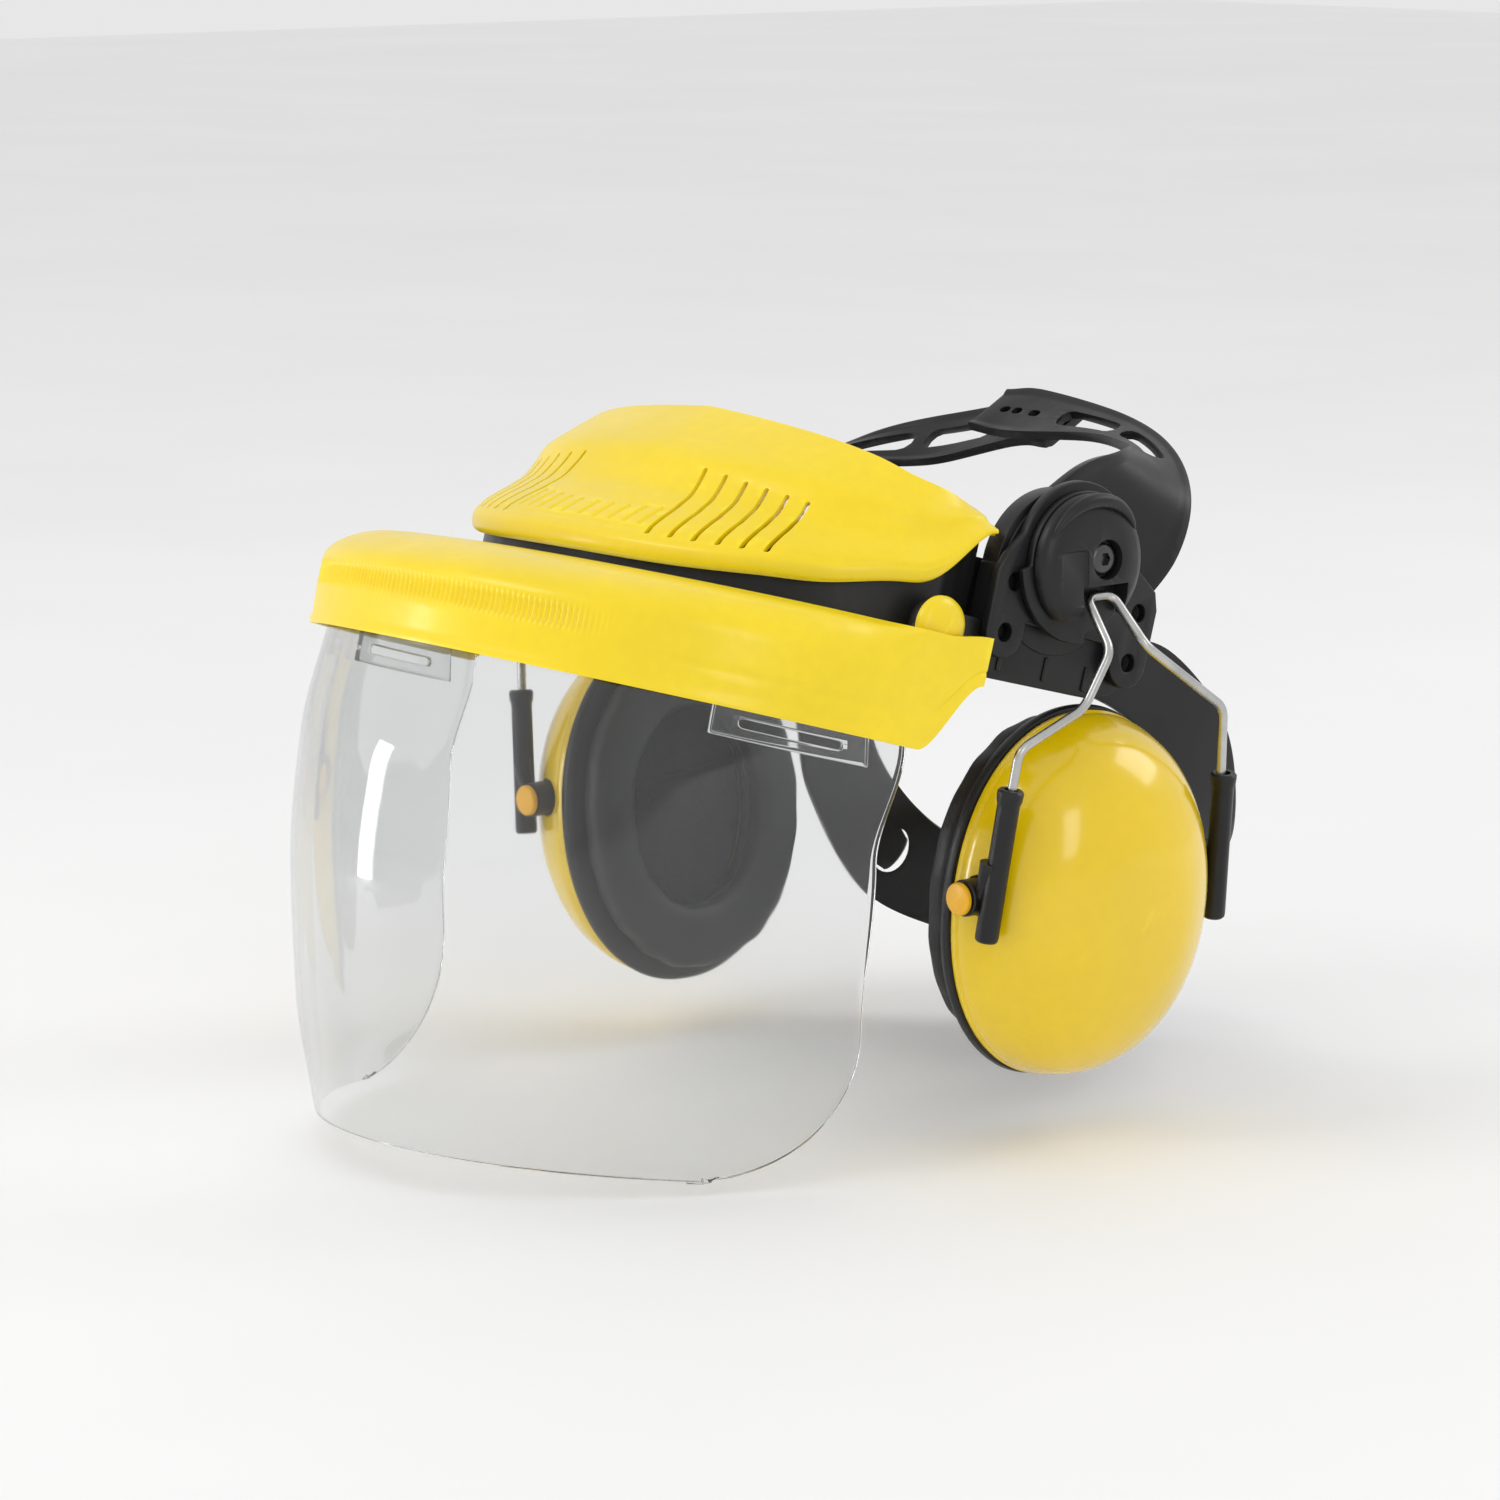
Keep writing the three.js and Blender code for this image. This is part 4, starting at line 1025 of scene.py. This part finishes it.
def cup_shell(side, flip):
    scales = [(t, pair[0]) for t, pair in DOME]
    depths = [(t, pair[1]) for t, pair in DOME]
    profile = [
        (0.995, SHELL_BACK), (1.0, SHELL_BACK + 0.5), (1.003, SHELL_BACK + 2), (0.992, SHELL_BACK + 3),
    ]
    steps = 40
    outside = [
        (max(eased(scales, t), 0.001) * (1 - 0.006 * (1 - smooth(t, 0.15, 0.3))), eased(depths, t))
        for t in np.linspace(0.09, 1, steps)
    ]
    profile += outside
    profile += [(0.001, 19.5)]
    profile += [(max(scale - 0.045, 0.002), x - 2.2) for scale, x in reversed(outside[:-1])]
    profile += [(0.94, SHELL_BACK)]
    shell = ring_stack("shell", profile, 128, closed=True)
    boss_end = SLEEVE_Y - LUG_HALF - 0.35
    for way in (-1, 1):
        ends = sorted((way * boss_end, way * (SLEEVE_Y + 5)))
        subtract(shell, along_y("pocket", *ends, LUG_RADIUS + 0.6))
    bosses = [along_y("boss", *sorted((way * 34.0, way * boss_end)), LUG_RADIUS) for way in (-1, 1)]
    piece = join(f"cup_shell_{side}_fine", [shell, *bosses])
    if flip:
        mirror(piece)
    finish_piece(piece, f"cup_{side}", CUP_YELLOW, angle=28)


def back_plate(side, flip):
    profile = [
        (0.66, SHELL_BACK - 0.35), (0.995, SHELL_BACK - 0.35), (1.012, SHELL_BACK - 0.7), (1.02, -15),
        (1.016, -16.2), (1.004, PLATE_BACK + 0.5), (0.985, PLATE_BACK), (0.64, PLATE_BACK), (0.625, -17),
        (0.625, -14), (0.64, SHELL_BACK - 0.4),
    ]
    plate = ring_stack(f"back_plate_{side}_fine", profile, 128, closed=True, flip=flip)
    finish_piece(plate, f"cup_{side}", BLACK)


def cushion_mesh(name):
    """A ring of vinyl over foam: a crowned face, a welded seam round the outside and small creases."""
    mid_scale, half_scale = 0.755, 0.178
    mid_x, half_x = (PLATE_BACK - 0.35 + CUSHION_BACK) / 2, (PLATE_BACK - 0.35 - CUSHION_BACK) / 2
    steps, sections = 144, 36
    points = []
    for j in range(sections):
        angle = 2 * math.pi * j / sections
        cos, sin = math.cos(angle), math.sin(angle)
        across = math.copysign(abs(cos) ** 0.62, cos)
        along = math.copysign(abs(sin) ** 0.62, sin)
        for k in range(steps):
            turn = 2 * math.pi * k / steps
            pucker = 0.006 * math.sin(23 * turn) * max(across, 0) * (1 - abs(along)) ** 0.5
            slack = 0.004 * math.sin(7 * turn + 1.3) + 0.003 * math.sin(17 * turn)
            seam = -0.02 * math.exp(-((along - 0.62) / 0.09) ** 2) * (cos > 0)
            scale = mid_scale + half_scale * across + pucker + seam + slack * abs(across)
            points.append(cup_point(turn, scale, mid_x + half_x * along * (1 - 0.03 * math.sin(5 * turn))))
    obj = make_object(name, points, ring_faces(sections, steps, closed=True))
    fix_normals(obj)
    return obj


CLOTH_FRAMES = 14
CLOTH_PRESSURE = 3.0
CUSHION_CAP = 1.4


def plump(obj, cap):
    """Swells a soft piece by a short cloth simulation, with each point moved by at most cap millimetres."""
    start = np.array([v.co for v in obj.data.vertices], float)
    cloth = obj.modifiers.new("cloth", "CLOTH")
    cloth.settings.use_pressure = True
    cloth.settings.uniform_pressure_force = CLOTH_PRESSURE
    cloth.settings.effector_weights.gravity = 0
    cloth.settings.tension_stiffness = 40
    cloth.settings.bending_stiffness = 4
    cloth.settings.quality = 4
    for number in range(1, CLOTH_FRAMES + 1):
        scene.frame_set(number)
    graph = bpy.context.evaluated_depsgraph_get()
    swollen = bpy.data.meshes.new_from_object(obj.evaluated_get(graph))
    end = np.array([v.co for v in swollen.vertices], float)
    bpy.data.meshes.remove(swollen)
    obj.modifiers.clear()
    scene.frame_set(1)
    move = end - start
    size = np.linalg.norm(move, axis=1, keepdims=True)
    limit = cap * MM
    move *= np.minimum(1, limit / np.maximum(size, 1e-9))
    for vertex, place in zip(obj.data.vertices, start + move):
        vertex.co = place


def ear_cushions():
    first = cushion_mesh("ear_cushion_left_soft")
    plump(first, CUSHION_CAP)
    second = bpy.data.objects.new("ear_cushion_right_soft", first.data.copy())
    scene.collection.objects.link(second)
    mirror(second)
    for side, obj in (("left", first), ("right", second)):
        finish_piece(obj, f"cup_{side}", VINYL, angle=70)


def foam_insert(side, flip):
    profile = [
        (0.001, -3.5), (0.35, -3.7), (0.6, -4.2), (0.68, -5.5), (0.7, -8), (0.68, -10.5), (0.6, -11.8),
        (0.35, -12.2), (0.001, -12.4),
    ]
    foam = ring_stack(f"foam_insert_{side}_soft", profile, 96, flip=flip)
    finish_piece(foam, f"cup_{side}", FOAM, angle=70)


def pivot_button(side, flip, where, way):
    seat = SLEEVE_Y + LUG_HALF + 0.35
    profile = [
        (35, 0.01), (35, 2), (seat, 2), (seat, 4.1), (seat + 0.4, 4.6), (seat + 1.4, 4.6),
        (seat + 1.9, 4.2), (seat + 2.1, 3.2), (seat + 2.2, 1.8), (seat + 2.2, 0.01),
    ]
    button = turned(
        f"button_{where}_{side}_fine", [(way * y, radius) for y, radius in profile], 48, PIVOT_X, PIVOT_Z,
        axis="y", flip=flip,
    )
    finish_piece(button, f"cup_{side}", ORANGE)


# ---------- crown and nape straps ----------

FRONT_TOP = [(0, 58, 22), (-16, 57, 23.2)]
REAR_TOP = [(0, 74, 33), (-16, 72.9, 32)]
CROWN_EDGES = {
    "left": (
        spline([(84, -6, 16), (84, 10, 24), (80, 28, 26), (66, 44, 25), (40, 54, 25), *FRONT_TOP]),
        spline([(84, 28, -22), (88, 42, -6), (84, 52, 10), (67, 62, 22), (40, 69.5, 29), *REAR_TOP]),
    ),
    "right": (
        spline([(84, -6, 12), (84, 10, 16), (80, 28, 12), (65, 47, 9), (40, 58, 12), *FRONT_TOP]),
        spline([(84, 28, -22), (88, 42, -8), (84, 52, 5), (67, 63, 15), (40, 70, 25), *REAR_TOP]),
    ),
}
CROWN_FACING = np.array([0, -0.56, 0.83])
CROWN_THICK = 2.6


def plate_space(flip):
    y, z, radius = BOSS
    x = PLATE_X[0] - 0.35
    boss = turned("space", [(x, 0.01), (x, radius + 0.6), (x + 12, radius + 0.6), (x + 12, 0.01)], 64, y, z,
                  tilt=True, flip=flip)
    return boss, box_cutter(x, x + 12, -31, 30.6, -40.5, z, tilt=True, flip=flip)


def crown_strap(side, flip):
    front, rear = CROWN_EDGES[side]
    layer = -(CROWN_THICK + 0.7) if flip else 0.0

    def at(u, v):
        raised = 1.3 * max(0.0, 1 - min(v, 1 - v) / 0.1) ** 0.5
        point = lerp(front(u), rear(u), v) + CROWN_FACING * layer * smooth(u, 0.48, 0.72)
        step = 1e-3
        along = front(min(u + step, 1)) - front(max(u - step, 0))
        out = np.cross(along, rear(u) - front(u))
        return point + out / np.linalg.norm(out) * raised * -0.6

    windows = slots_on(at, [((0.47, 0.5), (0.6, 0.5)), ((0.66, 0.5), (0.75, 0.5))], 3.6)
    pegs = slots_on(at, [((0.81 + 0.05 * k, 0.5), (0.82 + 0.05 * k, 0.5)) for k in range(3)], 1.4)
    strap = shell(f"crown_strap_{side}_fine", at, 111, 27, -CROWN_THICK, holes=[*windows, *pegs], flip=flip)
    fix_normals(strap)
    subtract(strap, *plate_space(flip))
    round_edges(strap, 0.5, 2, 50)
    finish_piece(strap, "root", BLACK)


NAPE_Y, NAPE_Z = 87.6, -131
NAPE_CENTRE = spline([
    (84.5, 12, -32), (84.5, 37, -42), (84.5, 57, -64), (81, 64, -94), (67, 73, -118), (46, 84, -128),
    (27, NAPE_Y, NAPE_Z),
])
NAPE_HALF = spline([
    (0, 6, 7), (0, 8, 9), (0, 11, 6), (-2, 13, 4), (-5, 8, 12), (-2, 1, 14), (0, 0, 13),
])


def nape_strap(side, flip):
    def at(u, v):
        return NAPE_CENTRE(u) + NAPE_HALF(u) * (2 * v - 1)

    moon = [
        (0.66 + 0.035 * math.cos(a), 0.5 + 0.24 * math.sin(a)) for a in np.linspace(-1.9, 1.9, 18)
    ] + [(0.67 + 0.012 * math.cos(a), 0.5 + 0.2 * math.sin(a)) for a in np.linspace(1.7, -1.7, 12)]
    strap = shell(f"nape_strap_{side}_fine", at, 101, 25, 2.2, holes=[moon], flip=flip)
    fix_normals(strap)
    subtract(strap, *plate_space(flip))
    round_edges(strap, 0.5, 2, 50)
    finish_piece(strap, "root", BLACK)


# ---------- nape ratchet ----------

def refined(node, body, look, bevel, angle=25):
    """A copy of a CAD node with its edges rounded."""
    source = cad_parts[node]
    obj = bpy.data.objects.new(f"{node}_fine", source.data.copy())
    scene.collection.objects.link(obj)
    edit = bmesh.new()
    edit.from_mesh(obj.data)
    bmesh.ops.remove_doubles(edit, verts=edit.verts, dist=1e-6)
    bmesh.ops.dissolve_limit(edit, angle_limit=0.02, verts=edit.verts, edges=edit.edges)
    edit.to_mesh(obj.data)
    edit.free()
    round_edges(obj, bevel, 3, 32)
    finish_piece(obj, body, look, angle)


def nape_pad():
    low, high = (np.array(corner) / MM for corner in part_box("nape_pad"))
    middle, half = (low + high) / 2, (high - low) / 2

    def at(u, v):
        across, tall = 2 * u - 1, 2 * v - 1
        x = half[0] * across * (1 - 0.06 * tall**4)
        z = half[2] * tall * (1 - 0.1 * across**4)
        return np.array([middle[0] + x, high[1], middle[2] + z])

    def depth(u, v):
        crown = max((1 - abs(2 * u - 1) ** 6) * (1 - abs(2 * v - 1) ** 6), 0) ** 0.4
        channel = sum(math.exp(-(((u - spot) / 0.02) ** 2)) for spot in (0.3, 0.5, 0.7))
        return 0.3 + (2 * half[1] - 0.4) * crown * (1 - 0.3 * channel)

    piece = pad("nape_pad_soft", at, 81, 45, depth)
    finish_piece(piece, "root", VINYL, angle=60)


# ---------- visor ----------

BRIM = (103, -161.5, -60, -34, 2.1)
BRIM_LOW, BRIM_HIGH = -63.5, -31
BRIM_INSET = [(0, 0.8), (0.25, 0), (0.42, 0), (0.5, 2), (0.75, 20), (1, 44)]
BRIM_LEVEL = [(0, BRIM_LOW), (0.25, -52), (0.42, -44.5), (0.5, -41), (0.75, -33.4), (1, BRIM_HIGH)]
HINGE = (-49, -29)
FLUTES = 210


def brim_at(u, v):
    s = (2 * u - 1) * (0.55 + 0.45 * (2 * u - 1) ** 4)
    depth = eased(BRIM_INSET, v)
    _, edge = horseshoe(s, BRIM)
    fade = smooth(edge, -82, -62)
    in_flutes = smooth(v, 0.24, 0.27) * (1 - smooth(v, 0.37, 0.41)) * (1 - smooth(abs(s), 0.28, 0.42))
    flute = 0.3 * in_flutes * (1 + math.cos(FLUTES * math.pi * s))
    bead = 0.5 * (1 - smooth(v, 0.03, 0.06)) * (1 - smooth(abs(s), 0.85, 0.95))
    crease = 0.35 * math.exp(-(((v - 0.2) / 0.02) ** 2)) * smooth(abs(s), 0.35, 0.5)
    plan = inset(BRIM, depth, 0.19 * (1 - fade))
    x, y = horseshoe(s, inset(plan, flute + crease - bead + 0.5, 1.0))
    z = eased(BRIM_LEVEL, v)
    sweep = smooth(edge, -54, -34)
    low, high = BRIM_LOW + 21 * sweep, BRIM_HIGH + 2 * sweep
    share = (z - BRIM_LOW) / (BRIM_HIGH - BRIM_LOW)
    return np.array([x, y, lerp(z, lerp(low, high, share), smooth(edge, -75, -50))])


def brim():
    piece = shell("visor_frame_fine", brim_at, 901, 45, 2.2, tilt=True)
    round_edges(piece, 0.5, 2, 60)
    finish_piece(piece, "visor", COVER_YELLOW)


SCREEN_HALF = [(-166, 90.5), (-152, 94), (-125, 97), (-87, 98), (-50, 98), (0, 97.2), (12, 97)]
SCREEN_DEPTH = [
    (-166, 111), (-152, 113), (-125, 117), (-87, 118), (-50, 113), (-17, 99.5), (0, 94.5), (12, 91.5),
]
SCREEN_BOTTOM = -169.2
SCREEN_CENTRE = -69
SCREEN_CORNER = 42
SCREEN_CLIMB = 0.11


def on_screen(turn, z, depth):
    side = (eased(SCREEN_HALF, z) - depth) * math.sin(turn)
    return np.array([side, SCREEN_CENTRE - (eased(SCREEN_DEPTH, z) - depth) * math.cos(turn), z])


def brow_level(level, y):
    return (level - y * math.sin(BROW_TILT)) / math.cos(BROW_TILT)


def screen_at(u, v):
    down = 1 - (1 - v) ** 1.6
    spread = 2 * u - 1

    def level_at(turn):
        floor = SCREEN_BOTTOM + SCREEN_CLIMB * (SCREEN_CENTRE - on_screen(turn, SCREEN_BOTTOM, 0)[1])
        return lerp(brow_level(-50, on_screen(turn, -10, 0)[1]), floor, down)

    level = level_at(math.pi / 2 * spread)
    corner = min(max((level - SCREEN_BOTTOM) / SCREEN_CORNER, 0), 1)
    cut_back = 5 * smooth(-level, 45, 80) + 2 * smooth(-level, 80, 125)
    rear = 90 - cut_back - 26 * (1 - math.sqrt(1 - (1 - corner) ** 2))
    turn = math.radians(rear) * spread
    return on_screen(turn, level_at(turn), 0)


def screen():
    piece = shell("visor_screen_fine", screen_at, 161, 81, -1.4)
    round_edges(piece, 0.35, 2, 60)
    finish_piece(piece, "visor", CLEAR, angle=50)
    piece.visible_shadow = False


def visor_clip(side, flip):
    def at(u, v):
        turn = math.radians(lerp(58, 84, u))
        return on_screen(turn, brow_level(lerp(-54, -71, v), on_screen(turn, -30, 0)[1]), 2)

    slot = slots_on(at, [((0.2, 0.75), (0.8, 0.75))], 1.2)
    clip = shell(f"visor_clip_{side}_fine", at, 31, 15, -1.4, holes=slot, flip=flip)
    round_edges(clip, 0.35, 2, 60)
    finish_piece(clip, "visor", CLEAR, angle=50)
    clip.visible_shadow = False


def hinge(side, flip):
    y, z = HINGE
    knob = turned(f"hinge_knob_{side}_fine", [
        (88.2, 0.01), (88.2, 3), (94.9, 3), (94.9, 8.1), (95.3, 8.5), (96.3, 8.5), (97.6, 7.9), (98.6, 6.4),
        (99.2, 4.4), (99.6, 2), (99.7, 0.01),
    ], 64, y, z, tilt=True, flip=flip)
    finish_piece(knob, "visor", COVER_YELLOW)
    arm = extruded("arm", rounded_box(y - 4, -30.4, z - 4, z + 5, 3), 91.4, 93,
                   [circle(y, z, 3.4)], 0.4, tilt=True, flip=flip)
    eye = extruded("eye", circle(y, z, 7.6, 48), 91.4, 94.5, [circle(y, z, 3.4)], 0.4, tilt=True, flip=flip)
    bracket = join(f"hinge_bracket_{side}_fine", [arm, eye])
    finish_piece(bracket, "root", BLACK)


# ---------- everything, side by side ----------

for side_name, sign in SIDES.items():
    flipped = sign < 0
    side_plate(side_name, flipped)
    accessory_plate(side_name, flipped)
    hub_base(side_name, flipped)
    hub_cap(side_name, flipped)
    hub_screw(side_name, flipped)
    wire_fork(side_name, flipped)
    for end_name, end_way in (("front", -1), ("rear", 1)):
        sleeve(side_name, flipped, end_name, end_way)
        pivot_button(side_name, flipped, end_name, end_way)
    cup_shell(side_name, flipped)
    back_plate(side_name, flipped)
    foam_insert(side_name, flipped)
    crown_strap(side_name, flipped)
    nape_strap(side_name, flipped)
    visor_clip(side_name, flipped)
    hinge(side_name, flipped)
ear_cushions()
nape_pad()
brim()
screen()
refined("nape_housing", "root", BLACK, 0.8)
refined("ratchet_knob", "knob", BLACK, 0.5)
refined("ratchet_pinion", "knob", STEEL, 0.12)
refined("rack_left", "left_rack", BLACK, 0.12)
refined("rack_right", "right_rack", BLACK, 0.12)

# ---------- floor and light ----------

FLOOR_GAP = 0.004      # metres
FLOOR_REACH = 6.0


def make_floor():
    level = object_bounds()[0][2] - FLOOR_GAP
    ways = ((-1, -1), (1, -1), (1, 1), (-1, 1))
    corners = [(x * FLOOR_REACH, y * FLOOR_REACH, level) for x, y in ways]
    floor = make_object("floor", np.array(corners) / MM, [(0, 1, 2, 3)])
    look = Look("pale_floor")
    cloud = look.spread(look.noise(3, 3), 0, 1)
    look.put("Base Color", look.mix(cloud, (0.9, 0.9, 0.9), (0.93, 0.93, 0.93)))
    look.put("Roughness", 0.7)
    floor.data.materials.append(look.material)


def area_light(name, place, target, size, size_y, power):
    data = bpy.data.lights.new(name, "AREA")
    data.shape = "RECTANGLE"
    data.size, data.size_y = size, size_y
    data.energy = power
    light = bpy.data.objects.new(name, data)
    light.location = place
    light.rotation_euler = (Vector(target) - Vector(place)).to_track_quat("-Z", "Y").to_euler()
    scene.collection.objects.link(light)


def make_lights():
    area_light("key", (-0.5, -1.6, 1.5), (0, 0, -0.03), 1.0, 0.8, 9)
    area_light("fill", (1.9, -0.6, 0.7), (0, 0, -0.05), 0.5, 1.0, 4)
    area_light("rim", (0.7, 1.6, 1.2), (0, 0, 0), 0.9, 0.9, 7)
    area_light("strip", (-0.45, -0.68, -0.02), (0, -0.12, -0.08), 0.1, 0.32, 0.8)
    world = bpy.data.worlds.new("studio")
    scene.world = world
    world.use_nodes = True
    background = world.node_tree.nodes["Background"]
    background.inputs["Color"].default_value = (1, 1, 1, 1)
    background.inputs["Strength"].default_value = 0.8


make_floor()
make_lights()
scene.view_settings.view_transform = "Standard"
